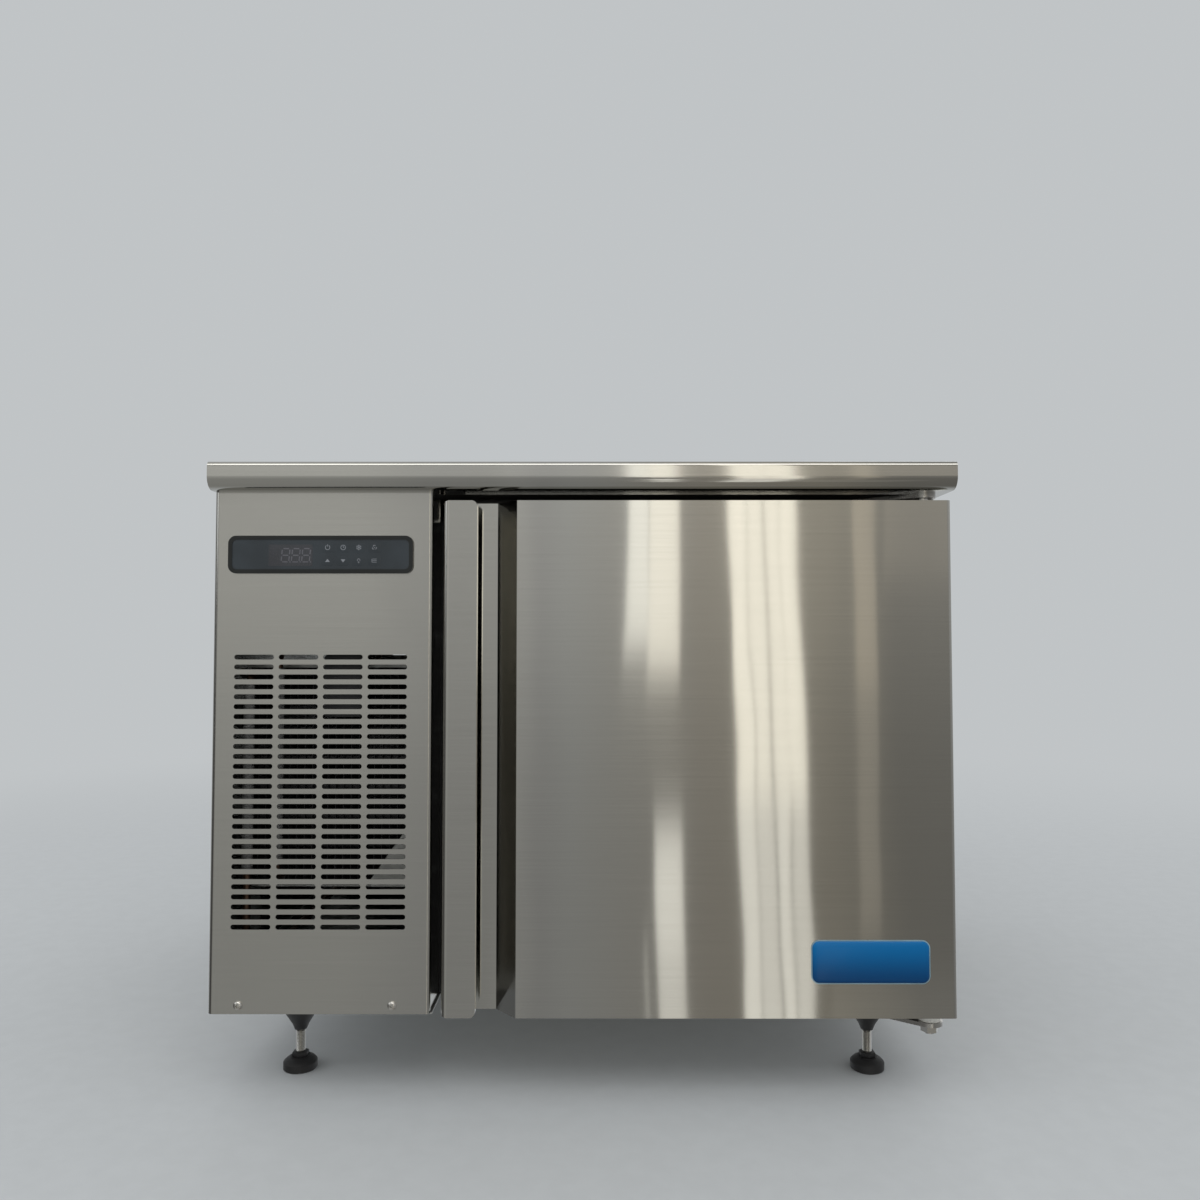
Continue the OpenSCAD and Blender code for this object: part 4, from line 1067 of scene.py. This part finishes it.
@dataclass
class ControllerFront:
    """The controller's display window, its unlit digits and the eight keys with their signs."""

    face_y: float = -0.3526
    window: tuple[float, float, float, float] = (-0.318, -0.2735, 0.538, 0.5598)
    key_x: tuple[float, ...] = (-0.2582, -0.2424, -0.2266, -0.2108)
    key_z: tuple[float, ...] = (0.5568, 0.5434)
    key_wide: float = 0.0128
    key_high: float = 0.0104
    key_corner: float = 0.0022
    key_crown: tuple[float, float] = (0.0005, 0.00007)
    film: float = 0.00008
    digit_high: float = 0.0135
    digit_wide: float = 0.0078
    digit_gap: float = 0.0026
    digit_lean: float = 0.09
    digit_margin: float = 0.0032
    segment: float = 0.0011
    segment_thick: float = 0.00005
    ink: float = 0.00012
    ink_width: float = 0.00055

    def build(self) -> None:
        """Makes the window, digits, keys and signs."""
        x0, x1, z0, z1 = self.window
        Shape().rounded_plate(
            ((x0 + x1) / 2, self.face_y, (z0 + z1) / 2), x1 - x0, z1 - z0, 0.0015, self.film
        ).piece("display_window", DISPLAY_FILM, "cabinet")
        self.digits()
        keys = Shape()
        for x in self.key_x:
            for z in self.key_z:
                keys.rounded_plate(
                    (x, self.face_y, z), self.key_wide, self.key_high, self.key_corner, self.film,
                    [self.key_crown], 4,
                )
        keys.piece("key_pads", FACE_FILM, "cabinet", slot="face_film")
        self.signs()

    def digits(self) -> None:
        """Makes three unlit seven-segment digits in the window, each with its point."""
        _, x1, z0, z1 = self.window
        high, wide, stroke, lean = self.digit_high, self.digit_wide, self.segment, self.digit_lean
        y, low, t = self.face_y - self.film, (z0 + z1 - high) / 2, self.segment_thick
        shape = Shape()
        for k in range(3):
            left = x1 - self.digit_margin - (3 - k) * wide - (2 - k) * self.digit_gap
            for row in range(3):
                z = low + high * row / 2
                shift = left + lean * (z - low)
                shape.bar((shift + stroke, z), (shift + wide - stroke, z), stroke, y, t)
            for row in range(2):
                a, b = low + high * row / 2 + stroke, low + high * (row + 1) / 2 - stroke
                for foot in (left, left + wide):
                    shape.bar((foot + lean * (a - low), a), (foot + lean * (b - low), b), stroke, y, t)
            shape.disc(left + wide + 0.0012, low, 0.0007, y, t, 12)
        shape.piece("unlit_digits", SEGMENT_FILM, "cabinet", smooth=0)

    def signs(self) -> None:
        """Makes a plain sign on each key: start, timer, chill, fan, up, down, light and list."""
        y, t, w = self.face_y - 0.00014, self.ink, self.ink_width
        shape = Shape()
        (a, b, c, d), (top, low) = self.key_x, self.key_z
        shape.arc(a, top, 0.0023, w, 120, 420, y, t).bar((a, top + 0.0009), (a, top + 0.0031), w, y, t)
        shape.arc(b, top, 0.0024, w, 0, 360, y, t)
        shape.bar((b, top), (b, top + 0.0016), w, y, t).bar((b, top), (b + 0.0012, top), w, y, t)
        heart = Vector((c, top))
        for k in range(3):
            turn = math.radians(60 * k + 90)
            reach = Vector((math.cos(turn), math.sin(turn))) * 0.0027
            shape.bar(heart - reach, heart + reach, w, y, t)
            for side in (-1, 1):
                knot = heart + reach * 0.6 * side
                for lean in (math.radians(-50), math.radians(50)):
                    tip = Vector((math.cos(turn + lean), math.sin(turn + lean)))
                    shape.bar(knot, knot + tip * 0.0011 * side, w * 0.8, y, t)
        for k in range(3):
            turn = 90 + 120 * k
            shape.arc(
                d + 0.0012 * math.cos(math.radians(turn)), top + 0.0012 * math.sin(math.radians(turn)),
                0.0011, w, turn - 70, turn + 110, y, t,
            )
        shape.disc(d, top, 0.0005, y, t, 10)
        shape.slab([(a - 0.0023, low - 0.0013), (a + 0.0023, low - 0.0013), (a, low + 0.0019)], y, t)
        shape.slab([(b + 0.0023, low + 0.0013), (b - 0.0023, low + 0.0013), (b, low - 0.0019)], y, t)
        shape.arc(c, low + 0.0006, 0.0013, w, -40, 220, y, t)
        shape.bar((c - 0.0008, low - 0.0012), (c + 0.0008, low - 0.0012), w, y, t)
        shape.bar((c - 0.0006, low - 0.0021), (c + 0.0006, low - 0.0021), w, y, t)
        for k in (-1, 0, 1):
            shape.bar((d - 0.0024, low + 0.0016 * k), (d + 0.0024, low + 0.0016 * k), w * 0.9, y, t)
        shape.bar((d - 0.0024, low - 0.0016), (d - 0.0024, low + 0.0016), w * 0.9, y, t)
        shape.piece("key_signs", SYMBOL_INK, "cabinet", smooth=0)


@dataclass
class Fasteners:
    """Cross-recessed pan head screws, and the hexagon bolts of the lower hinge plate.

    dome is the outline of a screw head's side, as shares of its radius and of its height.
    """

    head: float = 0.0045
    rise: float = 0.0026
    cross: float = 0.0021
    blade: float = 0.00075
    recess: float = 0.0016
    dome: tuple[tuple[float, float], ...] = ((0.86, 0.74), (0.97, 0.42), (1.0, 0.16), (1.0, 0.0))
    shank: tuple[tuple[float, float], ...] = (
        (0, -0.012), (0.0014, -0.012), (0.002, -0.011), (0.002, 0.0), (0, 0.0),
    )
    across: float = 0.010
    bolt_rise: float = 0.004
    front: tuple[Point, ...] = ((-0.3435, -0.35, 0.0986), (-0.1897, -0.35, 0.0986))
    rear_y: float = 0.35
    rear_x: tuple[float, ...] = (-0.366, -0.158)
    rear_z: tuple[float, ...] = (0.108, 0.27, 0.43, 0.6)
    rear_middle: float = -0.262
    side_x: float = -0.375
    side_y: tuple[float, ...] = (-0.3, -0.1, 0.1, 0.3)
    side_z: float = 0.101
    hinge: tuple[Point, ...] = ((0.305, -0.2965, 0.103), (0.355, -0.2965, 0.103))

    @staticmethod
    def stood(bm: bmesh.types.BMesh, seat: Point, out: Point) -> bmesh.types.BMesh:
        """Turns a head from +Z to its direction and puts it on its seat.

        Args:
            bm: The head's mesh.
            seat: Where it goes.
            out: Direction in which it stands out.

        Returns:
            The same mesh.
        """
        turn = Vector((0, 0, 1)).rotation_difference(Vector(out)).to_matrix().to_4x4()
        bmesh.ops.transform(bm, matrix=Matrix.Translation(seat) @ turn, verts=bm.verts)
        return bm

    def pan_head(self, seat: Point, out: Point) -> bmesh.types.BMesh:
        """One screw head, with the recess sunk into its dome.

        Args:
            seat: Where the head meets the sheet.
            out: Direction in which the head stands out.

        Returns:
            Its mesh.
        """
        bm = bmesh.new()
        b, c = self.blade, self.cross
        plan = [(b, c), (-b, c), (-b, b), (-c, b), (-c, -b), (-b, -b)]
        plan += [(-b, -c), (b, -c), (b, -b), (c, -b), (c, b), (b, b)]
        rim = [bm.verts.new((x, y, self.rise)) for x, y in plan]
        floor = bm.faces.new(rim)
        loop = list(floor.edges)
        sunk = bmesh.ops.extrude_face_region(bm, geom=[floor])["geom"]
        deep = [g for g in sunk if isinstance(g, bmesh.types.BMVert)]
        bmesh.ops.delete(bm, geom=[floor] if floor.is_valid else [], context="FACES_ONLY")
        bmesh.ops.translate(bm, vec=(0, 0, -self.recess), verts=deep)
        for v in deep:
            v.co.x *= 0.55
            v.co.y *= 0.55
        ring = bmesh.ops.create_circle(bm, cap_ends=False, radius=self.head * 0.62, segments=24)["verts"]
        bmesh.ops.rotate(bm, verts=ring, cent=(0, 0, 0), matrix=Matrix.Rotation(math.radians(97.5), 3, "Z"))
        bmesh.ops.translate(bm, vec=(0, 0, self.rise * 0.96), verts=ring)
        outer = [e for e in bm.edges if e.verts[0] in ring and e.verts[1] in ring]
        bmesh.ops.subdivide_edges(bm, edges=[e for e in loop if e.is_valid], cuts=1)
        near = [
            e for e in bm.edges
            if all(abs(v.co.z - self.rise) < 1e-9 and v.co.xy.length < c * 1.1 for v in e.verts)
        ]
        bmesh.ops.bridge_loops(bm, edges=near + outer)
        for r, z in self.dome:
            step = bmesh.ops.extrude_edge_only(bm, edges=outer)["geom"]
            ring = [g for g in step if isinstance(g, bmesh.types.BMVert)]
            for v in ring:
                flat = v.co.xy.normalized() * self.head * r
                v.co = (flat.x, flat.y, self.rise * z)
            outer = [g for g in step if isinstance(g, bmesh.types.BMEdge)]
        bmesh.ops.holes_fill(bm, edges=outer)
        bmesh.ops.recalc_face_normals(bm, faces=bm.faces)
        return self.stood(bm, seat, out)

    def hex_head(self, seat: Point, out: Point) -> bmesh.types.BMesh:
        """One hexagon head on its washer.

        Args:
            seat: Where the washer meets the plate.
            out: Direction in which the head stands out.

        Returns:
            Its mesh.
        """
        bm = bmesh.new()
        across, rise = self.across, self.bolt_rise
        radius = across / math.sqrt(3)
        bmesh.ops.create_cone(
            bm, cap_ends=True, segments=32, radius1=across * 0.62, radius2=across * 0.62, depth=rise * 0.2,
            matrix=Matrix.Translation((0, 0, rise * 0.1)),
        )
        made = bmesh.ops.create_cone(
            bm, cap_ends=True, segments=6, radius1=radius, radius2=radius, depth=rise * 0.8,
            matrix=Matrix.Translation((0, 0, rise * 0.6)),
        )["verts"]
        top = [v for v in made if v.co.z > rise * 0.9]
        bmesh.ops.bevel(
            bm, geom=top, offset=across * 0.09, offset_type="OFFSET", segments=2, profile=0.5,
            affect="VERTICES", material=-1,
        )
        return self.stood(bm, seat, out)

    def set_of(self, name: str, seats: Iterable[Point], out: Point) -> None:
        """Makes a group of the cabinet's screws as one piece.

        Args:
            name: The piece's name.
            seats: Where each head sits.
            out: Direction in which they stand out.
        """
        shape = Shape()
        for seat in seats:
            shape.add(self.pan_head(seat, out))
        shape.piece(name, SCREW_STEEL, "cabinet", 50.0, "screw_steel")

    def build(self) -> None:
        """Makes the screws of the front, the rear and the side, and the hinge bolts."""
        screws = Shape()
        for seat in self.front:
            screws.lathe(self.shank, seat, 16, Matrix.Rotation(math.radians(90), 3, "X"))
            screws.add(self.pan_head(seat, FORWARD))
        made = screws.piece("front_screws", SCREW_STEEL, "cabinet", 50.0, "screw_steel")
        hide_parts("panel_screws")
        rear = [(x, self.rear_y, z) for x in self.rear_x for z in self.rear_z]
        rear += [(self.rear_middle, self.rear_y, z) for z in (self.rear_z[0], self.rear_z[-1])]
        self.set_of("rear_grille_screws", rear, (0, 1, 0))
        side = [(self.side_x, y, self.side_z) for y in self.side_y]
        self.set_of("side_panel_screws", side, (-1, 0, 0))
        bolts = Shape()
        for seat in self.hinge:
            bolts.add(self.hex_head(seat, FORWARD))
        bolts.piece("hinge_bolts", SCREW_STEEL, "cabinet", 30.0, "screw_steel")


@dataclass
class ScrewFoot:
    """A levelling foot: a moulded pad with a hexagon collar, and a threaded stem."""

    node: str
    x: float
    y: float
    pad: float = 0.018
    neck: float = 0.0105
    pad_top: float = 0.0135
    collar: float = 0.009
    collar_high: float = 0.005
    collar_z: float = 0.0155
    stem: float = 0.005
    stem_foot: float = 0.0175
    top: float = 0.083
    thread: float = 0.0006
    pitch: float = 0.0015

    def build(self) -> None:
        """Makes the foot in place of its plain solid."""
        body = self.node.replace("foot", "leg")
        made = self.pad_shape().piece(f"{self.node}_pad", BY_SLOT["foot_black"], body, 35.0, "foot_black")
        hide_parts(self.node)
        stem = Shape().lathe(self.stem_line(), (self.x, self.y, 0.0), 32)
        stem.piece(f"{self.node}_stem", SCREW_STEEL, body, 25.0, "screw_steel")

    def pad_shape(self) -> Shape:
        """Turns the pad and adds its hexagon collar.

        Returns:
            The pad's shape.
        """
        profile = [
            (0, 0), (self.pad - 0.001, 0), (self.pad, 0.001), (self.pad, 0.0078),
            (self.pad - 0.0008, 0.0088), (self.pad - 0.003, 0.011),
            (self.neck, 0.0128), (self.neck, self.pad_top), (0, self.pad_top),
        ]
        part = bmesh.new()
        bmesh.ops.create_cone(
            part, cap_ends=True, segments=6, radius1=self.collar, radius2=self.collar, depth=self.collar_high,
            matrix=Matrix.Translation((self.x, self.y, self.collar_z)),
        )
        bmesh.ops.bevel(
            part, geom=[e for e in part.edges if e.calc_face_angle(0) > 1.2], offset=0.0006,
            offset_type="OFFSET", segments=2, profile=0.5, affect="EDGES", material=-1,
        )
        return Shape().lathe(profile, (self.x, self.y, 0.0)).add(part)

    def stem_line(self) -> list[tuple[float, float]]:
        """The outline of the threaded stem.

        Returns:
            Radius and height of each point.
        """
        root = self.stem - self.thread
        line = [(0, self.stem_foot), (root, self.stem_foot)]
        z = self.stem_foot + 0.001
        while z < self.top - 0.003:
            line += [(root, z), (self.stem, z + self.pitch / 2)]
            z += self.pitch
        return line + [(root, z), (root - self.thread, self.top), (0, self.top)]


@dataclass
class PipeSleeves:
    """Ribbed sleeves on the two upright pipes behind the slots."""

    runs: tuple[tuple[str, float, float, float], ...] = (
        ("liquid_sleeve", -0.3465, 0.226, 0.418),
        ("discharge_sleeve", -0.316, 0.232, 0.434),
    )
    y: float = -0.322
    bore: float = 0.0041
    outer: float = 0.0057
    groove: float = 0.0005
    rib: float = 0.0026
    first: float = 0.0008

    def build(self) -> None:
        """Makes both sleeves."""
        root = self.outer - self.groove
        for name, x, low, high in self.runs:
            line = [(self.bore, 0.0), (root, 0.0)]
            z = self.first
            while z < high - low - self.rib:
                line += [(root, z), (self.outer, z + 0.0004)]
                line += [(self.outer, z + self.rib - 0.001), (root, z + self.rib - 0.0006)]
                z += self.rib
            line += [(root, high - low), (self.bore, high - low), (self.bore, 0.0)]
            Shape().lathe(line, (x, self.y, low), 20).piece(name, SLEEVE_GREY, "cabinet", 40.0)


@dataclass
class GapSeal:
    """Rubber flap on the cell's front frame, which shuts the slit beside the front panel."""

    left: float = -0.1518
    right: float = -0.138
    low: float = 0.0915
    high: float = 0.589
    back: float = -0.2941
    thick: float = 0.0024

    def build(self) -> None:
        """Makes the flap."""
        left, right, low, high = self.left, self.right, self.low, self.high
        flap = Shape().slab([(left, low), (right, low), (right, high), (left, high)], self.back, self.thick)
        flap.piece("gap_seal", BY_SLOT["rubber"], "cabinet", 30.0, "rubber")


# ---------------------------------------------------------------- the studio
@dataclass(frozen=True)
class StripLight:
    """An upright soft box behind the camera, which the door shows as a streak.

    left and right are where its streak's sides fall on the door, in metres from the camera's
    upright plane, and low and high are its streak's ends above the camera. lean is how many
    degrees its upper end leans to the left.
    """

    name: str
    left: float
    right: float
    low: float
    high: float
    glow: float
    colour: RGB = (1.0, 0.98, 0.91)
    lean: float = 1.5


WARM = (1.0, 0.955, 0.845)
NEUTRAL = (1.0, 0.985, 0.92)

# brightness of the room by height, for reflections, from straight down at 0 to straight up at 1
ROOM_HEIGHTS = (
    (0.0, 0.26), (0.3, 0.28), (0.38, 0.29), (0.45, 0.335), (0.5, 0.42), (0.54, 0.47), (0.575, 0.51),
    (0.592, 0.56), (0.6, 0.8), (0.61, 0.28), (0.67, 0.28), (0.7, 0.5), (1.0, 0.45),
)
# what that is multiplied by across the room, from -X at 0 to +X at 1
ROOM_SIDES = (
    (0.0, (0.2, 0.195, 0.19)), (0.1, (0.28, 0.275, 0.27)), (0.2, (1.1, 1.1, 1.07)),
    (0.38, (1.12, 1.12, 1.09)), (0.415, (0.98, 0.98, 0.97)), (0.445, (0.98, 0.98, 0.96)),
    (0.455, (1.12, 1.12, 1.1)), (0.468, (0.95, 0.95, 0.95)), (0.485, (1.02, 1.03, 1.02)),
    (0.55, (0.95, 0.89, 0.8)), (0.61, (0.9, 0.84, 0.73)), (0.645, (0.62, 0.6, 0.56)),
    (0.72, (0.64, 0.63, 0.61)), (0.9, (0.9, 0.9, 0.9)),
)


@dataclass
class Studio:
    """Floor, world, lamps and camera."""

    eye: Point = (0.0199, -1.3376, 0.4647)
    pitch: float = 2.255
    yaw: float = 0.117
    lens: float = 29.25
    wall: RGB = (0.53, 0.552, 0.565)
    sky: RGB = (0.98, 0.99, 1.0)
    sky_glow: float = 0.8
    fade: tuple[float, float] = (0.9, 3.0)
    door_face: float = DOOR_FACE
    strip_y: float = -2.6
    strips: tuple[StripLight, ...] = (
        StripLight("strip_a_left", 0.0235, 0.0445, -0.012, 0.5, 0.95, (1.0, 0.98, 0.9), 0.3),
        StripLight("strip_a_right", 0.047, 0.077, -0.034, 0.5, 1.0, WARM, -0.3),
        StripLight("strip_a_line", 0.0435, 0.0465, -0.7, -0.3, 0.35, NEUTRAL, 0.8),
        StripLight("strip_a_low", 0.0515, 0.0795, -0.31, -0.185, 0.85, NEUTRAL, 2.2),
        StripLight("strip_a_foot", 0.0605, 0.0905, -0.7, -0.31, 0.6, NEUTRAL, 2.2),
        StripLight("strip_b_left", 0.1273, 0.1445, -0.16, 0.5, 1.15, WARM, 1.85),
        StripLight("strip_b_right", 0.1455, 0.1612, -0.16, 0.5, 1.1, WARM, 1.95),
        StripLight("strip_c_left", 0.1634, 0.1785, -0.16, 0.5, 1.1, WARM, 2.0),
        StripLight("strip_c_right", 0.1795, 0.1946, -0.16, 0.5, 1.15, WARM, 1.85),
        StripLight("strip_b_left_low", 0.146, 0.163, -0.7, -0.16, 0.85, NEUTRAL, 1.85),
        StripLight("strip_b_right_low", 0.1645, 0.1828, -0.7, -0.16, 0.7, NEUTRAL, 1.95),
        StripLight("strip_c_left_low", 0.1855, 0.198, -0.7, -0.16, 0.85, NEUTRAL, 2.0),
        StripLight("strip_c_right_low", 0.1995, 0.2136, -0.7, -0.16, 0.7, NEUTRAL, 1.85),
        StripLight("strip_d_high", 0.25, 0.273, -0.05, 0.5, 0.25, (1.0, 0.86, 0.66), 0.8),
        StripLight("strip_d_low", 0.254, 0.276, -0.3, -0.05, 0.12, (1.0, 0.9, 0.75), 0.8),
        StripLight("haze_high", 0.284, 0.37, 0.06, 0.5, 0.1, (1.0, 0.87, 0.7), 0.0),
        StripLight("haze_low", 0.225, 0.37, -0.7, -0.34, 0.055, NEUTRAL, 0.0),
    )

    def build(self) -> None:
        """Makes the whole studio."""
        self.camera()
        self.floor()
        self.world()
        self.lamps()
        bpy.context.scene.view_settings.view_transform = "Standard"

    def camera(self) -> None:
        """Places the camera at the photograph's view."""
        data = bpy.data.cameras.new("camera")
        data.lens, data.sensor_width = self.lens, 36.0
        data.clip_end = 60.0
        cam = bpy.data.objects.new("camera", data)
        cam.location = self.eye
        cam.rotation_euler = (math.radians(90 + self.pitch), 0.0, math.radians(self.yaw))
        bpy.context.collection.objects.link(cam)
        bpy.context.scene.camera = cam

    def floor(self) -> None:
        """Makes the pale floor, which keeps shadows near the object and doesn't show in its steel."""
        bm = bmesh.new()
        bmesh.ops.create_circle(bm, cap_ends=True, radius=18.0, segments=96)
        mesh = bpy.data.meshes.new("floor")
        bm.to_mesh(mesh)
        bm.free()
        floor = bpy.data.objects.new("floor", mesh)
        bpy.context.collection.objects.link(floor)
        floor.visible_glossy = False
        mesh.materials.append(self.floor_paint())

    def floor_paint(self) -> bpy.types.Material:
        """Builds the floor's paint, which runs out into the wall's colour away from the object.

        Returns:
            The floor's material.
        """
        sheet = NodeSheet("floor_paint")
        matt = sheet.add("ShaderNodeBsdfDiffuse")
        grit = sheet.span(sheet.noise(40.0, 4.0, 0.6), 0.3, 0.7)
        sheet.link(sheet.blend(grit, scaled(self.wall, 0.985), scaled(self.wall, 1.015)), matt.inputs[0])
        glow = sheet.add("ShaderNodeEmission")
        sheet.link((*self.wall, 1.0), glow.inputs[0])
        reach = sheet.add("ShaderNodeVectorMath", operation="LENGTH")
        sheet.link(sheet.coord, reach.inputs[0])
        far = sheet.span(reach.outputs["Value"], *self.fade)
        shown = sheet.either(
            sheet.math("MULTIPLY", far, sheet.ray("Camera")), matt.outputs[0], glow.outputs[0]
        )
        sheet.link(shown, sheet.add("ShaderNodeOutputMaterial").inputs["Surface"])
        return sheet.material

    def world(self) -> None:
        """Sets the wall's colour for the camera, a room's tones for reflections and an even light."""
        sheet = WorldSheet("studio")
        bpy.context.scene.world = sheet.world
        part = sheet.axes()
        heights = [(at, (tone, tone, tone * 0.985)) for at, tone in ROOM_HEIGHTS]
        room = sheet.blend(
            1.0, sheet.ramp(part["Z"], heights), sheet.ramp(part["X"], ROOM_SIDES), "MULTIPLY"
        )
        behind = sheet.span(part["Y"], -0.1, 0.7)
        room = sheet.blend(behind, room, scaled(self.wall, 0.9))
        even = sheet.backdrop(self.sky, self.sky_glow)
        seen = sheet.either(
            sheet.ray("Camera"),
            sheet.either(sheet.ray("Glossy"), even, sheet.backdrop(room)),
            sheet.backdrop(self.wall),
        )
        sheet.link(seen, sheet.add("ShaderNodeOutputWorld").inputs[0])

    @staticmethod
    def soft_box(
        name: str, place: Point, aim: Point, width: float, height: float, glow: float, colour: RGB,
        lean: float = 0.0,
    ) -> None:
        """Makes one rectangular lamp that the camera doesn't see.

        Args:
            name: Its name.
            place: Its middle.
            aim: The point it faces.
            width: Size across.
            height: Size up.
            glow: Its brightness, where 1 is white.
            colour: Its colour.
            lean: Degrees by which its upper end leans to -X.
        """
        data = bpy.data.lights.new(name, "AREA")
        data.shape, data.size, data.size_y = "RECTANGLE", width, height
        data.energy = glow * math.pi * width * height
        data.color = colour
        lamp = bpy.data.objects.new(name, data)
        lamp.location = place
        facing = (Vector(aim) - Vector(place)).to_track_quat("-Z", "Y").to_matrix()
        lamp.rotation_euler = (Matrix.Rotation(math.radians(-lean), 3, "Y") @ facing).to_euler()
        lamp.visible_camera = False
        bpy.context.collection.objects.link(lamp)

    def lamps(self) -> None:
        """Makes the strips behind the camera, the box overhead and the fills."""
        near = self.door_face - self.eye[1]
        far = near + (self.door_face - self.strip_y)
        for strip in self.strips:
            x0, x1 = (self.eye[0] + v * far / near for v in (strip.left, strip.right))
            z0, z1 = (self.eye[2] + v * far / near for v in (strip.low, strip.high))
            middle = ((x0 + x1) / 2, self.strip_y, (z0 + z1) / 2)
            aim = (middle[0], 0.0, middle[2])
            self.soft_box(strip.name, middle, aim, x1 - x0, z1 - z0, strip.glow, strip.colour, strip.lean)
        self.soft_box("overhead", (0.1, -2.2, 2.6), (0.1, -0.37, 0.64), 3.2, 1.4, 1.5, (1.0, 0.99, 0.97))
        self.soft_box("left_fill", (-2.6, -1.3, 1.5), (0.0, 0.0, 0.4), 1.4, 1.6, 0.9, (0.96, 0.98, 1.0))
        self.soft_box("rear_fill", (1.6, 2.4, 1.8), (0.0, 0.0, 0.4), 1.4, 1.4, 0.9, (1.0, 0.99, 0.97))


@dataclass
class Chiller:
    """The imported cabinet, whose CAD nodes keep their shape and get their finishes here."""

    frame: dict[str, Any]

    def dress(self) -> None:
        """Gives every node its finish, by its own name or by the record's slot."""
        rows = self.frame["record"]["subparts"]
        slots = {row["node"]: row.get("material_slot", row["node"]) for row in rows}
        for name, node in self.frame["nodes"].items():
            finish = BY_NODE.get(name) or BY_SLOT[slots[name]]
            if not node.material_slots:
                node.data.materials.append(None)
            for place in node.material_slots:
                place.material = finish.material()
            LOG.info("node %s: %s", name, finish.name)


def corners(box: tuple[Vector, Vector]) -> list[list[float]]:
    """A box as plain lists of numbers.

    Args:
        box: Its lowest and highest corner.

    Returns:
        The same corners as lists.
    """
    return [[round(v, 6) for v in corner] for corner in box]


def main() -> None:
    """Loads the frame, dresses it, adds the small fittings and builds the studio."""
    logging.basicConfig(level=logging.INFO, format="%(name)s: %(message)s")
    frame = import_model()
    Chiller(frame).dress()
    Badge().build()
    ControllerFront().build()
    Fasteners().build()
    PipeSleeves().build()
    GapSeal().build()
    for end, y in (("front", -FOOT_Y), ("rear", FOOT_Y)):
        for side, x in (("left", -FOOT_X), ("right", FOOT_X)):
            ScrewFoot(f"foot_{end}_{side}", x, y).build()
    Studio().build()


if __name__ == "__main__":
    main()
